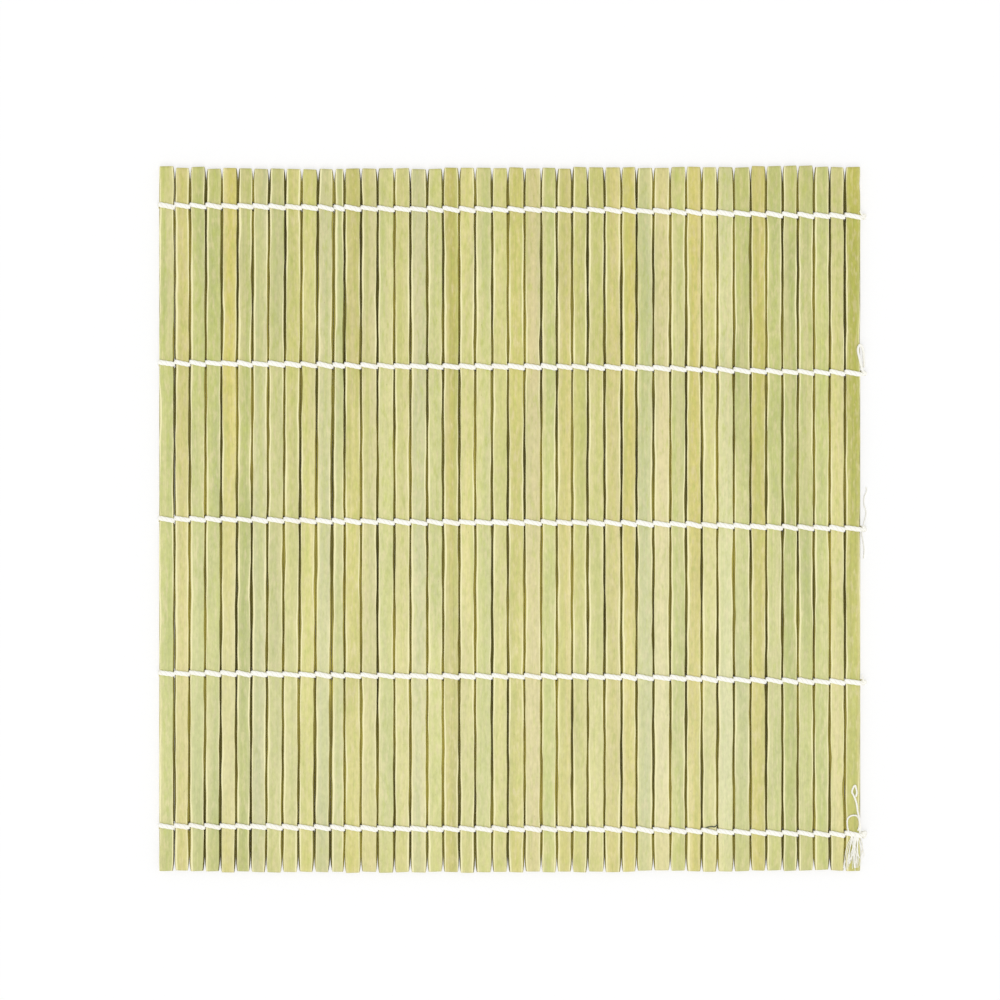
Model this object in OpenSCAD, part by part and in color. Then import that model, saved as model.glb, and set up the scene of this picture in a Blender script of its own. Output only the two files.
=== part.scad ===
// Bamboo rolling mat: a row of flat split-bamboo slats held side by side by
// twined cotton strings. Each string is one length folded in half round the
// first slat. Its two legs change places in every gap, one going over a slat
// while the other goes under it, and they are knotted together past the last.
// X runs across the slats, Y along their grain, Z up. The mat lies flat with
// its green skin side up, on the string humps under the slats.

/* [Mat] */
// Width of the mat, across all its slats
mat_w = 238.6; // [200:0.1:300]
// Length of a slat, along the grain
slat_l = 239.7; // [160:0.1:300]
// Number of slats
slat_count = 44; // [20:1:46]
// Gap between two slats
slat_gap = 0.65; // [0.5:0.05:1]

/* [Slat] */
// Thickness of a slat at its middle
slat_t = 1.8; // [1.2:0.1:3]
// How much higher a slat's middle is than its long edges
crown_rise = 0.15; // [0.05:0.05:0.3]
// Flat cut along the two upper long edges
arris = 0.3; // [0.1:0.05:0.4]
// Flat cut along the two lower long edges
under_arris = 0.15; // [0.05:0.05:0.3]
// Flat cut across each end of the upper face
end_break = 0.25; // [0.1:0.05:0.6]

/* [Hand-split variation] */
// How far the width of a slat strays, as a part of that width
width_stray = 0.06; // [0:0.01:0.12]
// How far the length of a slat strays at each end
length_stray = 0.3; // [0:0.05:0.8]
// How far the middle slats have slipped down along the grain
slip = 0.8; // [0:0.1:2]
// Which slat is the narrow, tapered one
narrow_slat = 12; // [4:1:18]
// Space the narrow slat takes at its upper end
narrow_top = 3.4; // [3:0.1:5.4]
// Space the narrow slat takes at its lower end
narrow_bottom = 5.1; // [3:0.1:5.4]

/* [Strings] */
// Number of strings
string_count = 5; // [2:1:7]
// Distance from the slats' ends to the first and to the last string
end_margin = 14.45; // [13:0.05:24]
// How far the middle string lies below the middle of the slats
string_sag = 1.1; // [0:0.1:3]
// How much lower the first string ends than it starts
first_fall = 3.2; // [0:0.1:5]
// How much lower the last string ends than it starts
last_fall = 2.4; // [0:0.1:5]
// How much lower a string's ends lie than its middle
string_bow = 0.5; // [0:0.1:2]
// How far a string wanders up and down along the grain
string_wave = 0.25; // [0:0.05:0.5]
// Length of one such wave, across the mat
wave_l = 138; // [80:1:240]
// Width of a stitch where it lies against a slat
stitch_w = 1.8; // [1:0.1:2]
// Width of the pressed outer face of a stitch
stitch_crest_w = 1; // [0.5:0.1:1.2]
// Height of a stitch above its slat
stitch_h = 0.8; // [0.5:0.05:1.2]
// Width of a leg where it is squeezed through a gap
leg_w = 1.1; // [0.8:0.1:1.4]
// Distance between the middles of the two legs in a gap
twist = 1.55; // [1.5:0.05:2.4]
// Space between a string and the bamboo
string_clear = 0.1; // [0.05:0.01:0.15]

/* [Knots] */
// Diameter of a knot
knot_d = 3; // [2.6:0.1:3.5]
// Diameter of the string where it wraps the knot
wrap_d = 0.9; // [0.6:0.1:1.2]
// Diameter of a string end left free past the knot
tail_d = 0.6; // [0.4:0.1:0.8]
// Length of the long tail up from the second knot
tail_l = 9.2; // [4:0.1:14]
// Length of the frayed tassel down from the last knot
tassel_l = 11.9; // [6:0.1:13]
// Number of strands in the frayed tassel
strand_count = 7; // [3:1:11]
// Thickness of one strand of the tassel
strand_d = 0.4; // [0.3:0.05:0.6]
// Spread of the frayed tassel, in degrees
tassel_fan = 26; // [10:1:40]
// Radius of the loose loop beside the last knot
loop_r = 2; // [1:0.1:3]

/* [Hidden] */
function two_digits(i) = i < 10 ? str("0", i) : str(i);
function slat_name(i) = str("slat_", two_digits(i));
function string_name(s) = str("string_", s);
function knot_name(s) = str("knot_", s);
slats = [1 : slat_count];
strings = [1 : string_count];
$fn = 48;

// Heights: the humps of the strings stand on the surface, the slats above them
slat_z = stitch_h + string_clear;
slat_top = slat_z + slat_t;
mid_z = slat_z + slat_t / 2;
string_top = slat_top + string_clear + stitch_h;
cut_margin = 1;

// Widths of the slats. Each strays a little, and the narrow slat tapers: what
// it gains towards its lower end, the slats before it lose.
stray_seed = 14434;
length_seed = 8333;
strays = rands(-width_stray, width_stray, slat_count + 1, stray_seed);
end_strays = rands(-length_stray, length_stray, 2 * slat_count + 2, length_seed);
shares = [for (i = [0 : slat_count]) i == 0 || i == narrow_slat ? 0 : 1 + strays[i]];
function total(list, last) = last < 0 ? 0 : list[last] + total(list, last - 1);
share_w = (mat_w - narrow_top) / total(shares, slat_count);
function edge_at_top(k) = share_w * total(shares, k) + (k >= narrow_slat ? narrow_top : 0);
narrow_end = edge_at_top(narrow_slat);
squeeze = (narrow_end - narrow_bottom) / (narrow_end - narrow_top);
tops = [for (k = [0 : slat_count]) edge_at_top(k)];
bottoms = [for (k = [0 : slat_count]) k < narrow_slat ? tops[k] * squeeze : tops[k]];

// Ends of the slats, before the mat is centred
function slip_at(i) = slip * sin(180 * sqrt((i - 1) / (slat_count - 1)));
function upper_end(i) = slat_l / 2 - slip_at(i) + end_strays[2 * i];
function lower_end(i) = -slat_l / 2 - slip_at(i) + end_strays[2 * i + 1];

// A knot is turns of the string drawn up side by side, a little askew. The outer
// turns are smaller, and with the skew they reach furthest to the side.
knot_turns = 3;
turn_step = 0.85 * wrap_d;
knot_skew = 35;
wrap_r = (knot_d - wrap_d) / 2;
function turn_r(n) = wrap_r - abs(n) * wrap_d / 6;
outer_turn = (knot_turns - 1) / 2;
knot_reach = turn_r(outer_turn) * cos(knot_skew) + outer_turn * turn_step * sin(knot_skew) + wrap_d / 2;

// The origin is under the middle of the whole mat, its folds and knots included
fold_t = slat_gap - 2 * string_clear;
reach_left = string_clear + fold_t;
reach_right = string_clear + 2 * knot_reach;
shift_x = -(mat_w + reach_right - reach_left) / 2;
shift_y = -(max([for (i = slats) upper_end(i)]) + min([for (i = slats) lower_end(i)])) / 2;
right_edge = shift_x + mat_w;

// Line between slats k and k + 1, at the height y along the grain
function part_y(y) = 0.5 - y / slat_l;
function edge_x(k, y) = shift_x + tops[k] + (bottoms[k] - tops[k]) * part_y(y);

// Sides of slat i. Only the inner sides give up half a gap.
function half_gap(k) = k == 0 || k == slat_count ? 0 : slat_gap / 2;
function left_x(i, y) = edge_x(i - 1, y) + half_gap(i - 1);
function right_x(i, y) = edge_x(i, y) - half_gap(i);
function slat_upper(i) = upper_end(i) + shift_y;
function slat_lower(i) = lower_end(i) + shift_y;

function slat_outline(i) = [
    [left_x(i, slat_upper(i)), slat_upper(i)],
    [right_x(i, slat_upper(i)), slat_upper(i)],
    [right_x(i, slat_lower(i)), slat_lower(i)],
    [left_x(i, slat_lower(i)), slat_lower(i)]
];

// A bar whose lower face cuts an edge away. The edge runs from a to b, with the
// slat on its left. A tilt of 45 cuts an upper edge, and 135 a lower one.
module edge_cutter(a, b, z, size, tilt) {
    run = b - a;
    bar_w = 6 * size;
    bar_t = 2 * size;
    translate([(a[0] + b[0]) / 2, (a[1] + b[1]) / 2, z])
        rotate([0, 0, atan2(run[1], run[0])])
            rotate([tilt, 0, 0])
                translate([0, 0, (bar_t - size * sqrt(2)) / 2])
                    cube([norm(run) + 2 * cut_margin, bar_w, bar_t], center = true);
}

// The skin side is the outside of the cane, so it is a shallow arc, in strips
crown_strips = 8;
module crowned_bar(i) {
    half_w = (right_x(i, 0) - left_x(i, 0)) / 2;
    crown_r = (half_w * half_w + crown_rise * crown_rise) / (2 * crown_rise);
    middle_x = (right_x(i, 0) + left_x(i, 0)) / 2;
    strip_turn = 2 * asin(half_w / crown_r) / crown_strips;
    half_strips = crown_strips / 2;
    wide_turn = strip_turn * (half_strips + 1);
    arc = [
        for (n = [-half_strips - 1 : half_strips + 1])
            crown_r * [sin(n * strip_turn), cos(n * strip_turn)] - [0, crown_r]
    ];
    foot_w = crown_r * sin(wide_turn);
    translate([middle_x, 0, slat_top])
        rotate([90, 0, 0])
            linear_extrude(height = slat_l + 4 * cut_margin, center = true)
                polygon(concat([[-foot_w, -2 * slat_t]], arc, [[foot_w, -2 * slat_t]]));
}

module slat(i) {
    outline = slat_outline(i);
    skin_edge = slat_top - crown_rise;
    long_sides = [[outline[0], outline[3]], [outline[2], outline[1]]];
    short_sides = [[outline[3], outline[2]], [outline[1], outline[0]]];
    color(i % 3 == 0 ? "darkkhaki" : i % 3 == 1 ? "khaki" : "yellowgreen")
        difference() {
            intersection() {
                translate([0, 0, slat_z])
                    linear_extrude(height = slat_t + cut_margin)
                        polygon(outline);
                crowned_bar(i);
            }
            for (side = long_sides) {
                edge_cutter(side[0], side[1], skin_edge, arris, 45);
                edge_cutter(side[0], side[1], slat_z, under_arris, 135);
            }
            for (side = short_sides)
                edge_cutter(side[0], side[1], slat_top, end_break, 45);
        }
}

// Height along the grain of string s at the place x across the mat
function string_part(s) = (s - 1) / (string_count - 1);
string_span = slat_l - 2 * end_margin;
function string_start(s) = string_span * (0.5 - string_part(s));
function string_drop(s) = string_sag * sin(180 * string_part(s));
function string_fall(s) = first_fall + (last_fall - first_fall) * string_part(s);
wave_start = 52;
function string_y(s, x) =
    let (
        from_left = x - shift_x,
        from_middle = from_left / mat_w - 0.5,
        bow = string_bow * pow(2 * from_middle, 2),
        wave = string_wave * sin(360 * from_left / wave_l + wave_start)
    )
    string_start(s) - string_drop(s) - string_fall(s) * from_middle - bow + wave;

// Sections of a leg have four corners, in the same order all along. A section
// over or under a slat is upright. One in a gap is level.
function leg_side(leg, i) = (i + leg) % 2 == 0 ? 1 : -1;
function near_z(side) = side > 0 ? slat_top + string_clear : slat_z - string_clear;
function upright(x, y, low, high, low_w, high_w, heading) =
    let (
        above = [[x, y - high_w / 2, high], [x, y + high_w / 2, high]],
        below = [[x, y - low_w / 2, low], [x, y + low_w / 2, low]]
    )
    heading > 0
        ? [above[0], below[0], below[1], above[1]]
        : [below[0], above[0], above[1], below[1]];
function level(x, y, z, rising) =
    let (outer = (rising ? -1 : 1) * fold_t / 2)
    [
        [x + outer, y - leg_w / 2, z],
        [x - outer, y - leg_w / 2, z],
        [x - outer, y + leg_w / 2, z],
        [x + outer, y + leg_w / 2, z]
    ];

// The shoulders of a stitch, where it is at its full height over slat i
shoulder_part = 0.24;
function shoulder(s, leg, i, at, heading) =
    let (
        y_mid = string_y(s, (left_x(i, 0) + right_x(i, 0)) / 2),
        last = i == slat_count && at > 0,
        left = left_x(i, y_mid),
        right = right_x(i, y_mid),
        inset = (right - left) * shoulder_part,
        x = last ? right_edge + string_clear : at > 0 ? right - inset : left + inset,
        side = leg_side(leg, i),
        lean = twist * (at > 0 ? -side : side) * (0.5 - shoulder_part),
        y = string_y(s, x) + (i == 1 && at < 0 ? 0 : lean),
        near = near_z(side),
        far = near + side * stitch_h
    )
    side > 0
        ? upright(x, y, near, far, stitch_w, stitch_crest_w, heading)
        : upright(x, y, far, near, stitch_crest_w, stitch_w, heading);

// The middle of a leg in gap k. Seen from the left, the leg that goes down
// keeps to the lower side of the gap. In the fold at the left it is central.
function gap_x(k, y) = k == 0 ? shift_x - string_clear - fold_t / 2 : edge_x(k, y);
function pass(s, leg, k, z, rising) =
    let (
        y_mid = string_y(s, edge_x(k, 0)),
        x = gap_x(k, y_mid),
        lean = k == 0 ? 0 : -leg_side(leg, k) * twist / 2
    )
    level(x, string_y(s, x) + lean, z, rising);

// The end of a leg, drawn in and pressed against the shoulder of the knot
knot_x = right_edge + string_clear + knot_reach;
end_back = 0.3 * knot_d;
end_rise = sqrt(knot_d * knot_d / 4 - end_back * end_back);
end_w = leg_w * 3 / 4;
end_t = fold_t;
function leg_end(s, leg, heading) =
    let (
        side = leg_side(leg, slat_count),
        x = knot_x - end_back,
        z = mid_z + side * (end_rise + string_clear + end_t / 2)
    )
    upright(x, string_y(s, x), z - end_t / 2, z + end_t / 2, end_w, end_w, heading);

// The first leg is followed from the knot to the fold, the other back again
function leftward(s) = [
    leg_end(s, 0, -1),
    for (step = [0 : slat_count - 1])
        let (
            i = slat_count - step,
            side = leg_side(0, i)
        )
        each [
            shoulder(s, 0, i, 1, -1),
            shoulder(s, 0, i, -1, -1),
            pass(s, 0, i - 1, near_z(side), side < 0),
            pass(s, 0, i - 1, near_z(-side), side < 0)
        ]
];
function rightward(s) = [
    for (i = slats)
        let (side = leg_side(1, i))
        each [
            shoulder(s, 1, i, -1, 1),
            shoulder(s, 1, i, 1, 1),
            if (i < slat_count) pass(s, 1, i, near_z(side), side < 0),
            if (i < slat_count) pass(s, 1, i, near_z(-side), side < 0)
        ],
    leg_end(s, 1, 1)
];

// A closed skin over sections that all have the same number of corners
module skin(sections) {
    corners = len(sections[0]);
    last = len(sections) - 1;
    walls = [
        for (k = [0 : last - 1], c = [0 : corners - 1])
            let (
                a = k * corners + c,
                b = k * corners + (c + 1) % corners
            )
            each [[a, b + corners, b], [a, a + corners, b + corners]]
    ];
    first_cap = [for (c = [2 : corners - 1]) [0, c - 1, c]];
    start = last * corners;
    last_cap = [for (c = [2 : corners - 1]) [start, start + c, start + c - 1]];
    polyhedron(
        points = [for (section = sections) each section],
        faces = concat(walls, first_cap, last_cap)
    );
}

module twined_string(s) {
    color("ivory")
        skin(concat(leftward(s), rightward(s)));
}

// A round thread along points, which may rise gently
thread_sides = 6;
function thread_turn(points, k) =
    let (
        before = points[max(k - 1, 0)],
        after = points[min(k + 1, len(points) - 1)]
    )
    atan2(after[1] - before[1], after[0] - before[0]);
function thread_section(point, turn, diameter) = [
    for (c = [0 : thread_sides - 1])
        let (
            angle = (c + 0.5) * 360 / thread_sides,
            out = diameter / 2 * cos(angle)
        )
        point + [-out * sin(turn), out * cos(turn), diameter / 2 * sin(angle)]
];
module thread(points, diameter) {
    skin([
        for (k = [0 : len(points) - 1])
            thread_section(points[k], thread_turn(points, k), diameter)
    ]);
}

// The body of a knot, filled in behind its turns
module knot_body() {
    fill_t = 2 * outer_turn * turn_step + wrap_d / 2;
    rotate([90, 0, knot_skew])
        rotate_extrude($fn = 24) {
            for (n = [-outer_turn : outer_turn])
                translate([turn_r(n), n * turn_step])
                    circle(d = wrap_d);
            translate([0, -fill_t / 2])
                square([wrap_r, fill_t]);
        }
}

// Free ends start inside the knot. Those that step back lie on top of the last
// slat, clear of it, and the others come down beside it.
tail_z = slat_top + string_clear + tail_d / 2;
root_z = mid_z + knot_d / 6;
root_step = 0.6 * tail_d;
module tail(reach, side_step) {
    way = sign(reach);
    tip_z = side_step > 0 ? tail_z : tail_d;
    thread(
        [
            [root_step, way * root_step, root_z],
            [root_step - side_step * 0.1, way * knot_d * 0.8, max(root_z, tip_z)],
            [root_step - side_step * 0.4, reach * 0.65, max(tip_z, (root_z + 2 * tip_z) / 3)],
            [root_step - side_step, reach, tip_z]
        ],
        tail_d
    );
}

// Each free end: its knot, then its reach up the grain and its step back over
// the last slat, as parts of the length of the long tail
free_ends = [
    [2, 1, 0.2],
    [3, 1.5, -0.1],
    [3, -1, -0.1],
    [string_count, 1.8, 0.4]
];

// The loose loop beside the last knot, nearly closed
loop_from = -40;
loop_to = 200;
loop_turn = 40;
module loop() {
    middle = [-loop_r - root_step, knot_d * 0.6 + loop_r, tail_z];
    thread(
        concat(
            [[-root_step, root_step, root_z]],
            [
                for (turn = [loop_from : loop_turn : loop_to])
                    middle + loop_r * [cos(turn), sin(turn), 0]
            ]
        ),
        tail_d
    );
}

// The last string's end is frayed into a fan of strands, one flat comb here
module tassel() {
    strand_turn = tassel_fan / (strand_count - 1);
    notch_part = 0.3;
    prongs = [
        for (n = [0 : strand_count - 1])
            let (
                turn = -n * strand_turn,
                tip = [tassel_l * tan(turn), -tassel_l],
                notch = tassel_l * notch_part
            )
            each [
                tip + [strand_d / 2, 0],
                tip - [strand_d / 2, 0],
                if (n < strand_count - 1) [notch * tan(turn - strand_turn / 2), -notch]
            ]
    ];
    translate([0, 0, slat_top + string_clear])
        linear_extrude(height = strand_d)
            polygon(concat([[-strand_d, 0], [strand_d, 0]], prongs));
}

module knot(s) {
    color("ivory")
        translate([knot_x, string_y(s, knot_x), 0]) {
            translate([0, 0, mid_z])
                knot_body();
            for (end = free_ends)
                if (end[0] == s) tail(end[1] * tail_l, end[2] * tail_l);
            if (s == string_count) {
                loop();
                tassel();
            }
        }
}

for (i = slats)
    slat(i);
for (s = strings)
    twined_string(s);
for (s = strings)
    knot(s);

// The least distance between the two legs of a string, over all its gaps
leg_gaps = [
    for (k = [1 : slat_count - 1])
        let (
            one = pass(1, 0, k, mid_z, false),
            other = pass(1, 1, k, mid_z, false)
        )
        for (a = one, b = other) norm(a - b)
];
echo(least_gap_between_legs = min(leg_gaps));

// The length of a string, along the middle of both legs
function centre(section) = (section[0] + section[2]) / 2;
function length_of(route, last) =
    last <= 0 ? 0 : norm(route[last] - route[last - 1]) + length_of(route, last - 1);
string_route = [for (section = concat(leftward(1), rightward(1))) centre(section)];
echo(string_length = length_of(string_route, len(string_route) - 1));
echo(edges = [for (k = [0 : slat_count]) edge_x(k, 0)]);
echo(string_heights = [for (s = strings) string_y(s, 0)]);
echo(ends = [for (i = slats) [slat_lower(i), slat_upper(i)]]);
echo(levels = [slat_z, slat_top, mid_z, string_top]);
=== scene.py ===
"""Bamboo rolling mat: split slats, twined cotton strings and their knots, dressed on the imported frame."""

import logging
import math
from dataclasses import dataclass, field
from enum import Enum
from typing import Callable, Mapping, Sequence

import bmesh
import bpy
import numpy as np
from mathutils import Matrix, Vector


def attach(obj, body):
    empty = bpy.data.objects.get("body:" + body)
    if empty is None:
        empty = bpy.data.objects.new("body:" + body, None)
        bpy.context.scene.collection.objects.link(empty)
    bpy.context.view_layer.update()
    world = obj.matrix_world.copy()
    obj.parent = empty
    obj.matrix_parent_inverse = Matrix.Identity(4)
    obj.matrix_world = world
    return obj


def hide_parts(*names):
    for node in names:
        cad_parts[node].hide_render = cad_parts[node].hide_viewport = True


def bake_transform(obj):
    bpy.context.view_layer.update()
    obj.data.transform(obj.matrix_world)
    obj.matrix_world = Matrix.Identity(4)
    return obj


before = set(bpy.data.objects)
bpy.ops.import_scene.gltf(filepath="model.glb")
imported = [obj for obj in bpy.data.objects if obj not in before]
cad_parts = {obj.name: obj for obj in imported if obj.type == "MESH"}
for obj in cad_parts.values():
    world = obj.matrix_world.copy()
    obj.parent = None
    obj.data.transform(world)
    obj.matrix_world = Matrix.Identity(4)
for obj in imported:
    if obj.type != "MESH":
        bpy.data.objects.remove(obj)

log = logging.getLogger("rolling_mat")
# A millimetre in metres, and how near two places on the blank count as one, in millimetres
MM = 0.001
CLOSE = 1e-4
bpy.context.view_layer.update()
Colour = tuple[int, int, int]
Socket = bpy.types.NodeSocket
Sockets = Mapping[str, Socket]


# Small helpers at the bench


def deselect() -> None:
    """Leaves edit mode and takes the selection off everything."""
    if bpy.context.mode != "OBJECT":
        bpy.ops.object.mode_set(mode="OBJECT")
    bpy.ops.object.select_all(action="DESELECT")


def activate(piece: bpy.types.Object) -> None:
    """Makes one object the only selected and the active one.

    Args:
        piece: The object.
    """
    deselect()
    piece.select_set(True)
    bpy.context.view_layer.objects.active = piece


def pick_edges(piece: bpy.types.Object, test: Callable[[bmesh.types.BMEdge], bool]) -> None:
    """Selects the edges of a piece in edit mode by a test on their place.

    Args:
        piece: The object, which is in edit mode.
        test: Says whether an edge is wanted.
    """
    shape = bmesh.from_edit_mesh(piece.data)
    bpy.ops.mesh.select_all(action="DESELECT")
    for edge in shape.edges:
        edge.select_set(test(edge))
    shape.select_flush_mode()
    bmesh.update_edit_mesh(piece.data)


def places(mesh: bpy.types.Mesh) -> np.ndarray:
    """Reads the corners of a mesh.

    Args:
        mesh: The mesh.

    Returns:
        Rows of x, y and z.
    """
    flat = np.zeros(len(mesh.vertices) * 3)
    mesh.vertices.foreach_get("co", flat)
    return flat.reshape(-1, 3)


def put_places(mesh: bpy.types.Mesh, rows: np.ndarray) -> None:
    """Moves the corners of a mesh to the given rows."""
    mesh.vertices.foreach_set("co", rows.astype(np.float32).ravel())
    mesh.update()


def point_values(mesh: bpy.types.Mesh, name: str, values: np.ndarray) -> None:
    """Keeps one number a corner on a mesh, for its material to read."""
    kept = mesh.attributes.new(name, "FLOAT", "POINT")
    kept.data.foreach_set("value", values.astype(np.float32))


def place_piece(name: str, mesh: bpy.types.Mesh) -> bpy.types.Object:
    """Puts a mesh into the scene as a piece of its own.

    Args:
        name: The piece's name.
        mesh: The mesh, with its place in it.

    Returns:
        The new object, at the origin.
    """
    piece = bpy.data.objects.new(name, mesh)
    bpy.context.scene.collection.objects.link(piece)
    return piece


def wave(y: np.ndarray, length: float, dice: np.random.Generator) -> np.ndarray:
    """A sine wave of the given length along y, from a random start."""
    return np.sin(2 * np.pi * (y / length + dice.uniform()))


def seen(colour: Colour) -> tuple[float, float, float, float]:
    """Turns a colour as it is seen into the linear colour that a shader takes.

    Args:
        colour: Red, green and blue from 0 to 255.

    Returns:
        Red, green, blue and alpha from 0 to 1.
    """
    parts = [c / 255 for c in colour]
    linear = [p / 12.92 if p <= 0.04045 else ((p + 0.055) / 1.055) ** 2.4 for p in parts]
    return (linear[0], linear[1], linear[2], 1.0)


# Materials: the bench for nodes, the shared effects and the finishes


class Board:
    """Adds and links the nodes of one material or group."""

    def __init__(self, tree: bpy.types.NodeTree) -> None:
        """Takes the node tree to work on."""
        self.tree = tree

    def node(self, kind: str, feeds: dict | None = None, **settings: object) -> bpy.types.Node:
        """Adds a node.

        Args:
            kind: The node's type, without its ShaderNode prefix.
            feeds: What goes into its inputs, by name or number: a socket or a plain value.
            **settings: The node's own settings.

        Returns:
            The node.
        """
        made = self.tree.nodes.new("ShaderNode" + kind)
        for key, value in settings.items():
            setattr(made, key, value)
        for key, value in (feeds or {}).items():
            if isinstance(value, bpy.types.NodeSocket):
                self.tree.links.new(value, made.inputs[key])
            else:
                made.inputs[key].default_value = value
        return made

    def calc(self, work: str, *terms: Socket | float) -> Socket:
        """A Math node's result for up to three terms."""
        return self.node("Math", dict(enumerate(terms)), operation=work).outputs[0]

    def blend(self, share: Socket | float, one: object, two: object, how: str = "MIX") -> Socket:
        """The colour that is `one` at a share of 0 and `two` at 1."""
        made = self.node("Mix", {0: share, 6: one, 7: two}, data_type="RGBA", blend_type=how)
        return made.outputs[2]

    def tint(self, colour: Socket, mask: Socket, strength: Socket | float, other: Colour) -> Socket:
        """The colour mixed with another one by a mask and its strength."""
        return self.blend(self.calc("MULTIPLY", mask, strength), colour, seen(other))

    def scale(self, colour: Socket, level: Socket) -> Socket:
        """The colour multiplied by a level."""
        return self.node("VectorMath", {0: colour, "Scale": level}, operation="SCALE").outputs[0]

    def step(self, value: Socket, low: float, high: float) -> Socket:
        """A smooth step from 0 at low to 1 at high."""
        feeds = {"Value": value, "From Min": low, "From Max": high}
        return self.node("MapRange", feeds, interpolation_type="SMOOTHSTEP").outputs[0]

    def noise(
        self, place: Socket, stretch: Sequence[float], detail: float = 2.0, rough: float = 0.5
    ) -> Socket:
        """Noise on stretched coordinates.

        Args:
            place: The coordinates.
            stretch: How many times the noise changes in one unit along each axis.
            detail: How many finer layers it has.
            rough: How strong the finer layers are.

        Returns:
            The noise, from 0 to 1.
        """
        mapped = self.node("Mapping", {"Vector": place, "Scale": tuple(stretch)}).outputs[0]
        feeds = {"Vector": mapped, "Scale": 1.0, "Detail": detail, "Roughness": rough}
        return self.node("TexNoise", feeds).outputs[0]

    def here(self) -> Socket:
        """The object's own coordinates, in metres."""
        return self.node("TexCoord").outputs["Object"]

    def kept(self, name: str) -> Socket:
        """A number that the piece keeps at its corners."""
        return self.node("Attribute", attribute_name=name).outputs["Fac"]

    def straight(self) -> Socket:
        """1 for the rays by which something is seen, mirrored or through glass too, and else 0.

        Returns:
            The number.
        """
        path = self.node("LightPath").outputs
        direct = self.calc("MAXIMUM", path["Is Camera Ray"], path["Is Glossy Ray"])
        return self.calc("MAXIMUM", direct, path["Is Transmission Ray"])

    def give(self, gives: Sockets, **results: Socket) -> bpy.types.NodeTree:
        """Ends a group.

        Args:
            gives: The group's outputs.
            **results: What goes to them, by name.

        Returns:
            The group.
        """
        for key, value in results.items():
            self.tree.links.new(value, gives[key])
        return self.tree


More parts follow.
